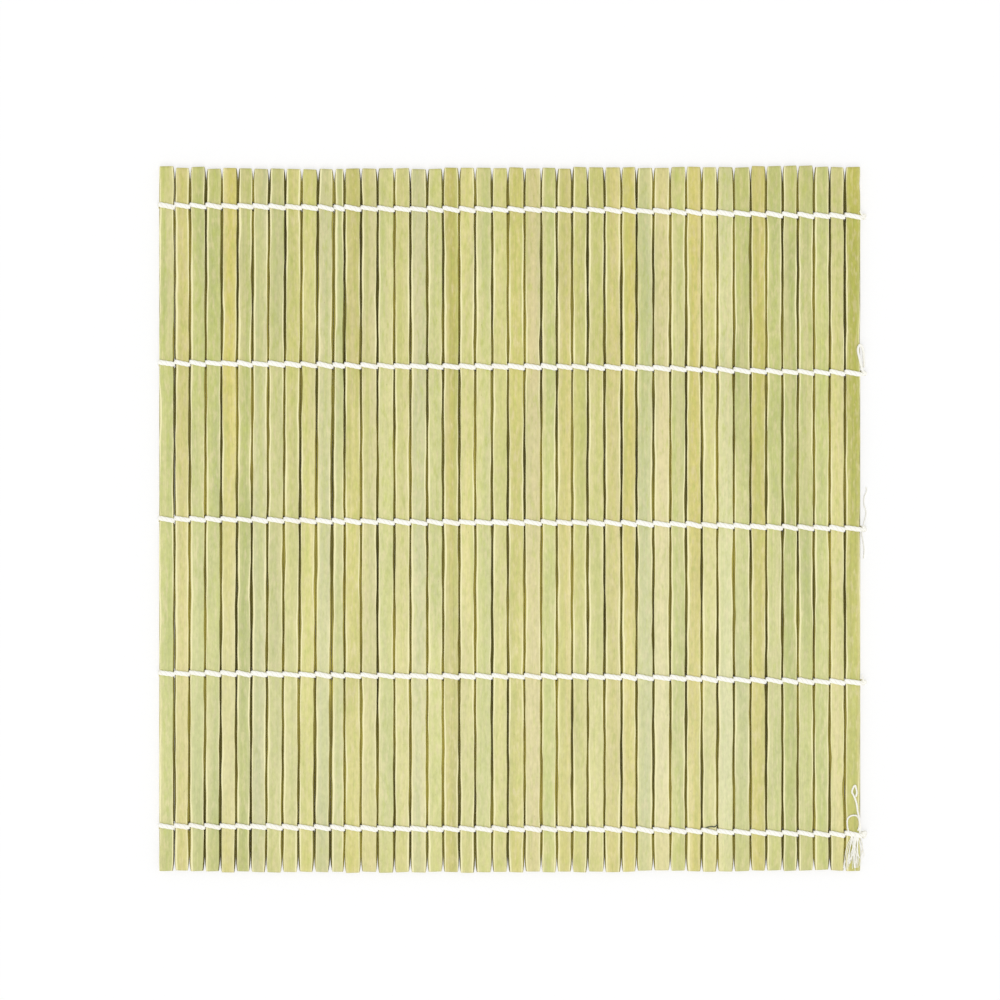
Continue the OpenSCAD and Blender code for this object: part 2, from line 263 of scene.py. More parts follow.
class Effects:
    """The node groups that several finishes share, each built once."""

    def __init__(self) -> None:
        """Builds every group."""
        self.grain = self._grain()
        self.patches = self._patches()
        self.specks = self._specks()
        self.cut_edge = self._cut_edge()
        self.yarn = self._yarn()

    @staticmethod
    def _open(name: str, takes: dict[str, float], gives: Sequence[str]) -> tuple[Board, Socket, Socket]:
        """Starts a group with number inputs and outputs.

        Args:
            name: The group's name.
            takes: Its inputs with their usual values.
            gives: Its outputs.

        Returns:
            The board, the group's input sockets and its output sockets.
        """
        group = bpy.data.node_groups.new(name, "ShaderNodeTree")
        for key, usual in takes.items():
            made = group.interface.new_socket(key, in_out="INPUT", socket_type="NodeSocketFloat")
            made.default_value = usual
        for key in gives:
            group.interface.new_socket(key, in_out="OUTPUT", socket_type="NodeSocketFloat")
        entry = group.nodes.new("NodeGroupInput")
        exit_ = group.nodes.new("NodeGroupOutput")
        return Board(group), entry.outputs, exit_.inputs

    def _grain(self) -> bpy.types.NodeTree:
        """Fibres along the slat: fine lines, and broader ones under them.

        Returns:
            The group. It puts out: masks for the fine and the broad fibres, and their height.
        """
        board, takes, gives = self._open(
            "bamboo_grain", {"Contrast": 1.0}, ("Fine", "Broad", "Height")
        )
        place = board.here()
        fine = board.noise(place, (5200, 42, 5200), 3, 0.6)
        broad = board.noise(place, (1500, 16, 1500), 2, 0.55)
        sharp = board.calc("MULTIPLY", board.calc("SUBTRACT", fine, 0.5), takes["Contrast"])
        height = board.calc("MULTIPLY_ADD", broad, 0.6, fine)
        return board.give(gives, Fine=board.calc("ADD", sharp, 0.5), Broad=broad, Height=height)

    def _patches(self) -> bpy.types.NodeTree:
        """Blotches of another colour, slow change along and across the slat, mottling and flecks.

        Returns:
            The group. It puts out: a mask for the blotches, and noises for the slow and the quick changes.
        """
        board, takes, gives = self._open(
            "skin_patches", {"Share": 0.4}, ("Mask", "Drift", "Mottle", "Fleck", "Cross")
        )
        place = board.here()
        blots = board.noise(place, (560, 78, 560), 4, 0.62)
        edge = board.calc("SUBTRACT", 0.72, board.calc("MULTIPLY", takes["Share"], 0.4))
        mask = board.calc("MULTIPLY", board.calc("SUBTRACT", blots, edge), 5.0)
        held = board.node("Clamp", {"Value": mask}).outputs[0]
        return board.give(
            gives,
            Mask=held,
            Drift=board.step(board.noise(place, (170, 15, 170), 2), 0.32, 0.68),
            Mottle=board.noise(place, (820, 210, 820), 3, 0.6),
            Fleck=board.noise(place, (1350, 560, 1350), 2, 0.55),
            Cross=board.noise(place, (330, 8, 330), 2, 0.5),
        )

    def _specks(self) -> bpy.types.NodeTree:
        """Small dark pores and scars, a little longer than wide.

        Returns:
            The group. It puts out: their mask.
        """
        board, takes, gives = self._open("skin_specks", {"Share": 0.3, "Size": 0.1}, ("Mask",))
        mapped = board.node("Mapping", {"Vector": board.here(), "Scale": (900, 330, 900)}).outputs[0]
        cell = board.node("TexVoronoi", {"Vector": mapped, "Scale": 1.0})
        lot = board.node("SeparateColor", {0: cell.outputs["Color"]}).outputs[0]
        chosen = board.calc("LESS_THAN", lot, takes["Share"])
        away = board.calc("DIVIDE", cell.outputs["Distance"], takes["Size"])
        near = board.calc("SUBTRACT", 1.0, away)
        dot = board.node("Clamp", {"Value": board.calc("MULTIPLY", near, 1.6)}).outputs[0]
        return board.give(gives, Mask=board.calc("MULTIPLY", dot, chosen))

    def _cut_edge(self) -> bpy.types.NodeTree:
        """The pale line where the skin is split off along a slat's long edges, and the wear beside it.

        Returns:
            The group. It puts out: masks for the line and for the wear.
        """
        board, takes, gives = self._open("cut_edge", {"Width": 0.42}, ("Mask", "Worn"))
        place = board.here()
        wander = board.calc("SUBTRACT", board.noise(place, (300, 95, 300), 3, 0.6), 0.5)
        reach = board.calc("MULTIPLY_ADD", wander, 0.72, board.kept("edge_mm"))
        over = board.calc("SUBTRACT", reach, takes["Width"])
        return board.give(gives, Mask=board.step(over, 0.05, -0.07), Worn=board.step(reach, 1.7, 0.3))

    def _yarn(self) -> bpy.types.NodeTree:
        """Twisted cotton: shade between the plies and fine fibres, on the yarn's own map.

        Returns:
            The group. It puts out: masks for the grooves and the fibres, and their height.
        """
        board, takes, gives = self._open("cotton_yarn", {"Plies": 3.0}, ("Groove", "Fibre", "Height"))
        sheet = board.node("UVMap", uv_map="lay").outputs[0]
        parts = board.node("SeparateXYZ", {0: sheet})
        lay = board.calc("SUBTRACT", parts.outputs[0], parts.outputs[1])
        turn = board.calc("MULTIPLY", board.calc("MULTIPLY", lay, takes["Plies"]), math.pi)
        ridge = board.calc("ABSOLUTE", board.calc("COSINE", turn))
        groove = board.step(ridge, 0.42, 0.0)
        fibre = board.noise(sheet, (34, 9, 1), 3, 0.65)
        fuzz = board.noise(board.here(), (4200, 4200, 4200), 2, 0.6)
        height = board.calc("ADD", board.calc("MULTIPLY", fibre, 0.6), board.calc("MULTIPLY", fuzz, 0.5))
        return board.give(gives, Groove=groove, Fibre=fibre, Height=height)


@dataclass
class Finisher:
    """Starts a material and closes it with its one shader.

    Attributes:
        effects: The shared node groups.
    """

    effects: Effects

    def start(self, name: str) -> tuple[bpy.types.Material, Board]:
        """Starts a material.

        Args:
            name: Its name.

        Returns:
            The material and its empty board.
        """
        made = bpy.data.materials.new(name)
        made.use_nodes = True
        made.node_tree.nodes.clear()
        return made, Board(made.node_tree)

    def use(self, board: Board, group: bpy.types.NodeTree, **feeds: object) -> bpy.types.Node:
        """Places a shared effect in a material.

        Args:
            board: The material's board.
            group: The effect.
            **feeds: This material's own values for its inputs.

        Returns:
            The placed group.
        """
        return board.node("Group", feeds, node_tree=group)

    def close(
        self,
        board: Board,
        colour: Socket,
        rough: Socket | float,
        height: Socket | None = None,
        relief: float = 0.0,
        **constants: float,
    ) -> None:
        """Ends a material in a Principled shader.

        Args:
            board: The material's board.
            colour: The base colour.
            rough: The roughness.
            height: What the bump follows, if there is one.
            relief: The bump's depth, in millimetres.
            **constants: Plain values for the shader's own sockets, with _ for a space.
        """
        feeds: dict[str, object] = {"Base Color": colour, "Roughness": rough}
        for key, value in constants.items():
            feeds[key.replace("_", " ")] = value
        if height is not None:
            bump = board.node("Bump", {"Height": height, "Strength": 1.0, "Distance": relief * MM})
            feeds["Normal"] = bump.outputs[0]
        shader = board.node("BsdfPrincipled", feeds)
        board.node("OutputMaterial", {"Surface": shader.outputs[0]})


@dataclass(frozen=True)
class SkinColour:
    """The colours of one tone of the cane's green skin, as they are seen.

    Attributes:
        base: The main colour.
        patch: The colour of the blotches.
        streak: The colour of the lengthwise streaks.
        patch_share: How much of the skin is blotched, from 0 to 1.
        streak_share: How strong the streaks are, from 0 to 1.
        speck_share: How many pores and scars show, from 0 to 1.
    """

    base: Colour
    patch: Colour
    streak: Colour
    patch_share: float = 0.4
    streak_share: float = 0.35
    speck_share: float = 0.12


class Tone(Enum):
    """The tones of skin among the slats."""

    OLIVE = SkinColour((199, 193, 107), (208, 200, 115), (181, 181, 94), 0.45, 0.45)
    DEEP_OLIVE = SkinColour((191, 186, 96), (204, 190, 101), (170, 171, 83), 0.5, 0.5, 0.2)
    STRAW = SkinColour((214, 206, 127), (219, 204, 125), (203, 199, 114), 0.45, 0.35)
    GREEN = SkinColour((190, 196, 122), (203, 202, 123), (176, 187, 109), 0.45, 0.4)
    FRESH_GREEN = SkinColour((186, 193, 115), (200, 199, 117), (172, 184, 102), 0.4, 0.4)
    LIGHT_GREEN = SkinColour((201, 204, 135), (211, 207, 133), (190, 197, 125), 0.45, 0.35)
    GOLD = SkinColour((216, 205, 107), (218, 205, 123), (203, 192, 97), 0.5, 0.4, 0.2)
    GREY_GREEN = SkinColour((199, 201, 146), (209, 203, 144), (190, 195, 137), 0.45, 0.35, 0.08)
    PALE_GREEN = SkinColour((205, 208, 149), (214, 210, 145), (196, 202, 137), 0.4, 0.35, 0.08)
    PALE_TAN = SkinColour((213, 206, 147), (217, 202, 141), (203, 199, 135), 0.45, 0.35, 0.16)
    YELLOW_GREEN = SkinColour((206, 204, 122), (214, 205, 122), (193, 197, 112), 0.45, 0.4)
    PALE_STRAW = SkinColour((216, 210, 147), (220, 207, 140), (206, 204, 134), 0.4, 0.35, 0.1)
    LEMON = SkinColour((214, 211, 137), (220, 209, 131), (203, 205, 124), 0.45, 0.35, 0.1)
    AMBER = SkinColour((203, 195, 102), (213, 196, 108), (188, 183, 92), 0.5, 0.45, 0.3)
    MOSS = SkinColour((184, 183, 76), (198, 187, 84), (165, 169, 62), 0.45, 0.5)
    SPOTTED = SkinColour((211, 206, 143), (214, 196, 135), (199, 198, 131), 0.55, 0.35, 0.35)


@dataclass(frozen=True)
class SkinFinish:
    """The green skin of a slat, with pale split edges.

    Attributes:
        tone: Which tone it has.
        edge: The colour of the split edges.
        pore: The colour of pores and scars.
        blush: The tan of the mottling.
        leaf: The green of the mottling.
        faded: What the skin pales to away from its upper end.
        ripe: What it yellows to near both ends.
        end_shade: The colour of the painted shade that darkens a thin rim at the sawn ends.
        blotched: How strong the blotches are.
        mottled: How strong the mottling is.
        ripened: How strong the yellow near the ends is.
        scarred: How strong the pores and scars are.
        rubbed: How strong the wear beside the split edges is.
        split: How strong the line of the split edges is.
        stain_and_end_shade: How strong the painted shade at the sawn ends is.
        level: How bright the skin is next to the colours as they are given.
        relief: How deep the grain is, in millimetres.
    """

    tone: Tone
    edge: Colour = (246, 239, 188)
    pore: Colour = (120, 104, 60)
    blush: Colour = (224, 208, 160)
    leaf: Colour = (188, 197, 90)
    faded: Colour = (227, 225, 184)
    ripe: Colour = (200, 190, 84)
    # Painted shade along the sawn ends
    end_shade: Colour = (158, 150, 96)
    blotched: float = 0.6
    mottled: float = 0.5
    ripened: float = 0.15
    scarred: float = 0.55
    rubbed: float = 0.16
    split: float = 0.88
    stain_and_end_shade: float = 0.22
    level: float = 0.965
    relief: float = 0.012

    def material(self, finisher: Finisher) -> bpy.types.Material:
        """Builds the material.

        Args:
            finisher: The bench with the shared effects.

        Returns:
            The material.
        """
        made, board = finisher.start("skin_" + self.tone.name.lower())
        effects = finisher.effects
        grain = finisher.use(board, effects.grain, Contrast=1.3).outputs
        patches = finisher.use(board, effects.patches, Share=self.tone.value.patch_share).outputs
        colour = self._colour(board, grain, patches)
        level = self._brightness(board, grain, patches)
        colour = board.scale(colour, board.calc("MULTIPLY", level, board.kept("shade")))
        specks = finisher.use(board, effects.specks, Share=self.tone.value.speck_share).outputs
        edges = finisher.use(board, effects.cut_edge).outputs
        # Painted shade: the skin darkens within 0.8 mm of either sawn end
        rim = board.step(board.kept("end_mm"), 0.8, 0.1)
        for mask, strength, other in (
            (specks["Mask"], self.scarred, self.pore),
            (edges["Worn"], self.rubbed, self.edge),
            (edges["Mask"], self.split, self.edge),
            (rim, self.stain_and_end_shade, self.end_shade),
        ):
            colour = board.tint(colour, mask, strength, other)
        rough = board.calc("MULTIPLY_ADD", edges["Mask"], 0.3, 0.42)
        finisher.close(board, colour, rough, grain["Height"], self.relief)
        return made

    def _colour(self, board: Board, grain: Sockets, patches: Sockets) -> Socket:
        """Mixes the skin's colour, with blotches, mottling, streaks and what fades and yellows.

        Args:
            board: The material's board.
            grain: What the grain puts out.
            patches: What the patches put out.

        Returns:
            The colour.
        """
        look = self.tone.value
        blots = board.calc("MULTIPLY", patches["Mask"], self.blotched)
        slow = board.calc("MULTIPLY", patches["Drift"], self.blotched)
        blots = board.calc("MAXIMUM", blots, slow)
        colour = board.blend(blots, seen(look.base), seen(look.patch))
        mottle, cross = patches["Mottle"], patches["Cross"]
        warm = board.calc("MAXIMUM", board.step(mottle, 0.47, 0.68), board.step(cross, 0.5, 0.72))
        cool = board.calc("MAXIMUM", board.step(mottle, 0.5, 0.3), board.step(cross, 0.48, 0.26))
        colour = board.tint(colour, warm, self.mottled, self.blush)
        colour = board.tint(colour, cool, self.mottled, self.leaf)
        colour = board.tint(colour, board.step(grain["Broad"], 0.5, 0.7), look.streak_share, look.streak)
        colour = board.blend(board.kept("fade"), colour, seen(self.faded))
        return board.tint(colour, board.step(board.kept("end_mm"), 17, 7), self.ripened, self.ripe)

    def _brightness(self, board: Board, grain: Sockets, patches: Sockets) -> Socket:
        """Works out how bright the skin is.

        Args:
            board: The material's board.
            grain: What the grain puts out.
            patches: What the patches put out.

        Returns:
            What the colour is multiplied by.
        """
        level = board.calc("MULTIPLY_ADD", grain["Fine"], 0.16, self.level - 0.08)
        for name, strength in (("Fleck", 0.36), ("Mottle", 0.14), ("Cross", 0.12)):
            about = board.calc("SUBTRACT", patches[name], 0.5)
            level = board.calc("MULTIPLY_ADD", about, strength, level)
        return board.calc("MULTIPLY", level, board.calc("MULTIPLY_ADD", patches["Drift"], 0.1, 0.95))


@dataclass(frozen=True)
class SplitFinish:
    """Bamboo split along its grain: a slat's sides, its underside or a loose fibre.

    Attributes:
        name: The finish's name.
        light: The pith between the fibres.
        dark: The fibre bundles.
        change: How much its shade changes along and across the slats.
        relief: How deep the fibres stand, in millimetres.
    """

    name: str
    light: Colour
    dark: Colour
    change: float
    relief: float = 0.05

    def material(self, finisher: Finisher) -> bpy.types.Material:
        """Builds the material.

        Args:
            finisher: The bench with the shared effects.

        Returns:
            The material.
        """
        made, board = finisher.start(self.name)
        grain = finisher.use(board, finisher.effects.grain, Contrast=1.8)
        patches = finisher.use(board, finisher.effects.patches, Share=0.5)
        fibres = board.step(grain.outputs["Fine"], 0.35, 0.75)
        colour = board.blend(fibres, seen(self.light), seen(self.dark))
        level = board.calc("MULTIPLY_ADD", patches.outputs["Drift"], self.change, 1 - self.change / 2)
        level = board.calc("MULTIPLY", level, board.kept("shade"))
        colour = board.scale(colour, level)
        rough = board.calc("MULTIPLY_ADD", fibres, 0.12, 0.68)
        finisher.close(
            board, colour, rough, grain.outputs["Height"], self.relief, Specular_IOR_Level=0.2
        )
        return made


@dataclass(frozen=True)
class EndFinish:
    """The sawn end of a slat, with the ends of its fibre bundles.

    Attributes:
        pith: The colour between the bundles.
        bundle: The colour of the bundles.
    """

    pith: Colour = (214, 196, 142)
    bundle: Colour = (146, 116, 68)

    def material(self, finisher: Finisher) -> bpy.types.Material:
        """Builds the material.

        Args:
            finisher: The bench with the shared effects.

        Returns:
            The material.
        """
        made, board = finisher.start("slat_end")
        mapped = board.node("Mapping", {"Vector": board.here(), "Scale": (3600, 60, 3600)}).outputs[0]
        cell = board.node("TexVoronoi", {"Vector": mapped, "Scale": 1.0})
        dots = board.step(cell.outputs["Distance"], 0.42, 0.2)
        saw = board.noise(board.here(), (1200, 1200, 9000), 2, 0.5)
        colour = board.blend(dots, seen(self.pith), seen(self.bundle))
        level = board.calc("MULTIPLY_ADD", saw, 0.22, 0.86)
        colour = board.scale(colour, level)
        finisher.close(board, colour, 0.74, board.calc("SUBTRACT", saw, dots), 0.03)
        return made


@dataclass(frozen=True)
class CottonFinish:
    """Soft white cotton, twisted or frayed.

    Attributes:
        name: The finish's name.
        clean: The colour of the ridges.
        shaded: The colour between the plies.
        stain_and_end_shade: The colour of its faint stains.
        plies: How many plies the yarn is twisted of.
    """

    name: str = "cotton_string"
    clean: Colour = (253, 252, 245)
    shaded: Colour = (226, 220, 200)
    stain_and_end_shade: Colour = (236, 226, 196)
    plies: float = 3.0

    def material(self, finisher: Finisher) -> bpy.types.Material:
        """Builds the material.

        Args:
            finisher: The bench with the shared effects.

        Returns:
            The material.
        """
        made, board = finisher.start(self.name)
        yarn = finisher.use(board, finisher.effects.yarn, Plies=self.plies)
        dirt = board.step(board.noise(board.here(), (130, 130, 130), 3, 0.6), 0.45, 0.75)
        hollows = board.calc("MULTIPLY", yarn.outputs["Groove"], 0.7)
        colour = board.blend(hollows, seen(self.clean), seen(self.shaded))
        colour = board.tint(colour, dirt, 0.22, self.stain_and_end_shade)
        level = board.calc("MULTIPLY_ADD", yarn.outputs["Fibre"], 0.1, 0.95)
        colour = board.scale(colour, level)
        rough = board.calc("MULTIPLY_ADD", yarn.outputs["Fibre"], 0.1, 0.84)
        finisher.close(
            board, colour, rough, yarn.outputs["Height"], 0.05, Sheen_Weight=0.25, Sheen_Roughness=0.5
        )
        return made


@dataclass(frozen=True)
class FloorFinish:
    """The plain pale floor.

    Attributes:
        mat: Half of the mat's width and length, in metres.
        colour: Its colour.
        clouded: The colour of its faint clouds.
        white_share: How strong its plain white is to the camera. The rest shows the shadow.
        white_inside: How far inside the mat's outline the white starts, and is full, in metres.
    """

    mat: tuple[float, float]
    colour: Colour = (254, 254, 254)
    clouded: Colour = (250, 250, 250)
    white_share: float = 0.68
    white_inside: tuple[float, float] = (0.006, 0.0025)

    def material(self, finisher: Finisher) -> bpy.types.Material:
        """Builds the material.

        Args:
            finisher: The bench with the shared effects.

        Returns:
            The material.
        """
        made, board = finisher.start("pale_floor")
        cloud = board.noise(board.here(), (6, 6, 6), 2, 0.5)
        colour = board.blend(board.calc("MULTIPLY", cloud, 0.3), seen(self.colour), seen(self.clouded))
        lit = board.node(
            "BsdfPrincipled", {"Base Color": colour, "Roughness": 0.9, "Specular IOR Level": 0.1}
        )
        white = board.node("Emission", {"Color": (1, 1, 1, 1), "Strength": 1.0})
        place = board.node("SeparateXYZ", {0: board.here()}).outputs
        beyond = [
            board.calc("SUBTRACT", board.calc("ABSOLUTE", place[n]), self.mat[n]) for n in (0, 1)
        ]
        starts, full = self.white_inside
        outside = board.step(board.calc("MAXIMUM", *beyond), -starts, -full)
        share = board.calc("MULTIPLY", board.calc("MULTIPLY", board.straight(), outside), self.white_share)
        both = board.node("MixShader", {0: share, 1: lit.outputs[0], 2: white.outputs[0]})
        board.node("OutputMaterial", {"Surface": both.outputs[0]})
        return made


# The slats


@dataclass(frozen=True)
class SlatPlace:
    """Where one slat lies, read from its CAD node, in millimetres.

    Attributes:
        number: The slat's number, from the folds to the knots.
        top: Its y at the upper end.
        bottom: Its y at the lower end.
        left: Its x on the left at the upper and at the lower end.
        right: Its x on the right at the upper and at the lower end.
        low: Its lowest z.
        high: Its highest z.
    """

    number: int
    top: float
    bottom: float
    left: tuple[float, float]
    right: tuple[float, float]
    low: float
    high: float

    @staticmethod
    def read(number: int) -> "SlatPlace":
        """Reads a slat's place from the frame.

        Args:
            number: The slat's number.

        Returns:
            Its place.
        """
        rows = places(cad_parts[f"slat_{number:02d}"].data) / MM
        upper = rows[rows[:, 1] > rows[:, 1].max() - 0.02]
        lower = rows[rows[:, 1] < rows[:, 1].min() + 0.02]
        return SlatPlace(
            number,
            rows[:, 1].max(),
            rows[:, 1].min(),
            (upper[:, 0].min(), lower[:, 0].min()),
            (upper[:, 0].max(), lower[:, 0].max()),
            rows[:, 2].min(),
            rows[:, 2].max(),
        )

    def sides(self, y: np.ndarray | float) -> tuple[np.ndarray, np.ndarray]:
        """Finds a slat's long sides.

        Args:
            y: Where along the slat.

        Returns:
            The x of the left side and of the right side there.
        """
        share = (self.top - y) / (self.top - self.bottom)
        left = self.left[0] + (self.left[1] - self.left[0]) * share
        right = self.right[0] + (self.right[1] - self.right[0]) * share
        return left, right


class StringLines:
    """The middle line of every string, in millimetres, read from its CAD node."""

    def __init__(self, count: int) -> None:
        """Reads the given number of strings.

        Args:
            count: How many strings there are.
        """
        self.rows = range(1, count + 1)
        self._curves = {}
        for row in self.rows:
            rows = places(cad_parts[f"string_{row}"].data) / MM
            self._curves[row] = np.polynomial.Polynomial.fit(rows[:, 0], rows[:, 1], 7)

    def y(self, row: int, x: float) -> float:
        """How high along the grain a string lies at x."""
        return float(self._curves[row](x))


@dataclass(frozen=True)
class Chip:
    """A chipped place on a slat's long edge, in millimetres.

    Attributes:
        slat: The slat's number.
        right: Whether it is on the right edge.
        y: Where along the slat it is.
        depth: How deep it goes.
        reach: Half of its length.
    """

    slat: int
    right: bool
    y: float
    depth: float
    reach: float


@dataclass
class SlatRow:
    """The row of split-bamboo slats. Sizes are in millimetres.

    Attributes:
        lines: Where the strings run.
        width: Width of the blank that every slat is copied from.
        length: Its length.
        thick: Its thickness in the middle.
        crown: How much higher its middle is than its long edges.
        arris: How far the upper long edges are rounded.
        under_arris: How far the lower ones are.
        end_break: How far the ends of the upper face are.
        end_wear: How much of a slat is worn narrower at its ends.
        end_narrowing: How much narrower each side is worn there.
        usual_gap: The gap from which on a side is worn in full.
        middle_share: How much of a slat's width stretches. Its rims keep their shape.
        end_cuts: Cross cuts between an end and the nearest string.
        span_cuts: Cross cuts between two strings.
        belly: How much of half a gap the split sides fill below the skin.
        outer_gap: The gap that the outermost sides are shaped for.
        fade: How far the skin pales from its upper middle to its lower middle.
        fade_run: Heights along the slats, and how much of the fading shows at each.
        washed: The slats that pale more than the others.
        washing: How many times as much they pale.
        bleached: The slats that pale the most.
        bleaching: How many times as much they pale.
        dimmed: The slats that are a little darker than their tone.
        dimming: What their brightness is multiplied by.
        upper_shade: How much darker the upper end is.
        outer_light: How much brighter the outermost sides are than those in the gaps, whose darker colour is
            painted shade.
        seed: Where the hand-split variation starts.
        chips: Where an edge is chipped.
        tones: The tone of each slat, from the folds to the knots.
        slats: Where the slats lie, once they are read.
    """

    lines: StringLines
    width: float = 4.77
    length: float = 239.7
    thick: float = 1.8
    crown: float = 0.15
    arris: float = 0.3
    under_arris: float = 0.15
    end_break: float = 0.25
    end_wear: float = 3.6
    end_narrowing: float = 0.2
    usual_gap: float = 0.4
    middle_share: float = 0.62
    end_cuts: int = 4
    span_cuts: int = 15
    belly: float = 0.9
    outer_gap: float = 0.1
    fade: float = 0.2
    fade_run: tuple[tuple[float, ...], tuple[float, ...]] = ((-120, -85, -55, 55), (0.6, 1, 1, 0))
    washed: tuple[int, ...] = (7, 9, 11, 17, 24, 28, 31, 35)
    washing: float = 1.6
    bleached: tuple[int, ...] = (3, 5, 32, 36, 37)
    bleaching: float = 2.5
    dimmed: tuple[int, ...] = (6, 8, 12, 34, 41, 43)
    dimming: float = 0.955
    upper_shade: float = 0.05
    outer_light: float = 1.4
    seed: int = 11
    chips: tuple[Chip, ...] = ()
    tones: tuple[Tone, ...] = (
        Tone.GREEN, Tone.STRAW, Tone.GREEN, Tone.GREEN, Tone.GOLD, Tone.FRESH_GREEN,
        Tone.GREY_GREEN, Tone.LIGHT_GREEN, Tone.YELLOW_GREEN, Tone.YELLOW_GREEN, Tone.GREY_GREEN,
        Tone.PALE_GREEN, Tone.OLIVE, Tone.PALE_STRAW, Tone.LIGHT_GREEN, Tone.LEMON,
        Tone.GREY_GREEN, Tone.LIGHT_GREEN, Tone.DEEP_OLIVE, Tone.LEMON, Tone.LIGHT_GREEN,
        Tone.LEMON, Tone.OLIVE, Tone.SPOTTED, Tone.GREEN, Tone.STRAW, Tone.YELLOW_GREEN,
        Tone.YELLOW_GREEN, Tone.STRAW, Tone.GOLD, Tone.PALE_GREEN, Tone.PALE_TAN,
        Tone.GREEN, Tone.GOLD, Tone.LEMON, Tone.PALE_GREEN, Tone.FRESH_GREEN, Tone.AMBER,
        Tone.GREEN, Tone.FRESH_GREEN, Tone.GREEN, Tone.GREEN, Tone.LEMON,
        Tone.MOSS,
    )
    slats: list[SlatPlace] = field(default_factory=list)

    @property
    def side_top(self) -> float:
        """How high the split sides reach on a blank, below the rounded upper edges."""
        return self.thick - self.crown - self.arris

    def blank(self) -> bpy.types.Mesh:
        """Models the blank that every slat is copied from.

        Returns:
            Its mesh, in millimetres, centred in x and y and standing on z = 0.
        """
        deselect()
        half_w, half_l = self.width / 2, self.length / 2
        flat_t = self.thick - self.crown
        skin_z = self.side_top - CLOSE
        bpy.ops.mesh.primitive_cube_add(size=1)
        block = bpy.context.active_object
        block.name = "slat_blank"
        block.scale = (self.width, self.length, flat_t)
        block.location = (0, 0, flat_t / 2)
        bpy.ops.object.transform_apply(location=True, rotation=False, scale=True)
        bpy.ops.object.mode_set(mode="EDIT")
        bpy.ops.mesh.select_mode(type="EDGE")

        def run(edge: bmesh.types.BMEdge) -> float:
            """How far an edge runs along the grain."""
            return abs(edge.verts[0].co.y - edge.verts[1].co.y)

        def long_edge(edge: bmesh.types.BMEdge, z: float) -> bool:
            """Whether an edge is a long outer one at the height z."""
            return run(edge) > 1 and all(
                abs(abs(v.co.x) - half_w) < CLOSE and abs(v.co.z - z) < CLOSE for v in edge.verts
            )

        def end_edge(edge: bmesh.types.BMEdge) -> bool:
            """Whether an edge bounds the upper face at a sawn end."""
            return run(edge) < 1 and all(
                abs(abs(v.co.y) - half_l) < CLOSE and v.co.z > skin_z for v in edge.verts
            )

        pick_edges(block, lambda edge: long_edge(edge, flat_t))
        bpy.ops.mesh.bevel(offset=self.arris, segments=3, profile=0.55, affect="EDGES")
        pick_edges(block, lambda edge: long_edge(edge, 0))
        bpy.ops.mesh.bevel(offset=self.under_arris, segments=2, affect="EDGES")
        pick_edges(block, end_edge)
        bpy.ops.mesh.bevel(offset=self.end_break, segments=2, affect="EDGES")
        wide = self.middle_share
        across = [((part * half_w, 0, 0), (1, 0, 0)) for part in (-wide, -0.32, 0, 0.32, wide)]
        along = [((0, 0, z), (0, 0, 1)) for z in (0.45, 0.8, 1.1)]
        for place, way in across + along:
            bpy.ops.mesh.select_all(action="SELECT")
            bpy.ops.mesh.bisect(plane_co=place, plane_no=way, threshold=1e-5)
        pick_edges(block, lambda edge: run(edge) > half_l)
        rings = len(self._levels(0, 0, np.zeros(len(self.lines.rows))))
        bpy.ops.mesh.subdivide(number_cuts=rings - 2)
        bpy.ops.mesh.select_all(action="SELECT")
        bpy.ops.mesh.normals_make_consistent(inside=False)
        bpy.ops.object.mode_set(mode="OBJECT")
        rows = places(block.data)
        inner = np.clip(1 - (rows[:, 0] / (half_w - self.arris)) ** 2, 0, 1)
        rows[:, 2] += np.where(rows[:, 2] > skin_z, self.crown * inner, 0)
        put_places(block.data, rows)
        bpy.ops.object.shade_smooth_by_angle(angle=math.radians(40))
        mesh = block.data
        bpy.data.objects.remove(block)
        return mesh

    def _levels(self, top: float, bottom: float, strings: np.ndarray) -> np.ndarray:
        """The heights of a slat's cross cuts, close together at the strings and the ends.

        Args:
            top: Its upper end.
            bottom: Its lower end.
            strings: How high each string crosses it, from the uppermost.

        Returns:
            The heights, from the lower end to the upper.
        """
        near = (2.6, 1.7, 1.1, -1.1, -1.7, -2.6)
        closer = np.linspace(0, 1, self.end_cuts + 2) ** 1.8
        rows = list(top + (strings[0] + near[0] - top) * closer[:-1])
        for k, y in enumerate(strings):
            if k:
                rows += list(np.linspace(rows[-1], y + near[0], self.span_cuts + 2)[1:-1])
            rows += [y + n for n in near]
        rows += list(bottom + (rows[-1] - bottom) * closer[-2::-1])
        return np.array(rows[::-1])

    def _faces(self, mesh: bpy.types.Mesh) -> np.ndarray:
        """Tells the blank's faces apart.

        Args:
            mesh: The blank's mesh.

        Returns:
            Which finish each face takes: 0 skin, 1 side, 2 underside, 3 end.
        """
        kinds = []
        for face in mesh.polygons:
            normal = face.normal
            if abs(normal.y) > 0.35 and normal.z < 0.3:
                kinds.append(3)
            elif normal.z > 0.2:
                kinds.append(0)
            elif normal.z < -0.6:
                kinds.append(2)
            else:
                kinds.append(1)
        return np.array(kinds, dtype=np.int32)

    def _stray(self, y: np.ndarray, dice: np.random.Generator) -> np.ndarray:
        """Lets a hand-split edge wander, with a few nicks.

        Args:
            y: Where along the slat.
            dice: The slat's own chance.

        Returns:
            How far the edge lies inwards there.
        """
        away = np.zeros_like(y)
        for size, length in ((0.055, 95), (0.07, 40), (0.07, 19), (0.04, 9.5)):
            away += size * wave(y, length * dice.uniform(0.8, 1.2), dice)
        for _ in range(dice.integers(1, 4)):
            middle, reach = dice.uniform(-115, 115), dice.uniform(2.5, 6)
            away += dice.uniform(0.06, 0.2) * np.exp(-(((y - middle) / reach) ** 2))
        return np.clip(away + 0.06, -0.06, 0.34)

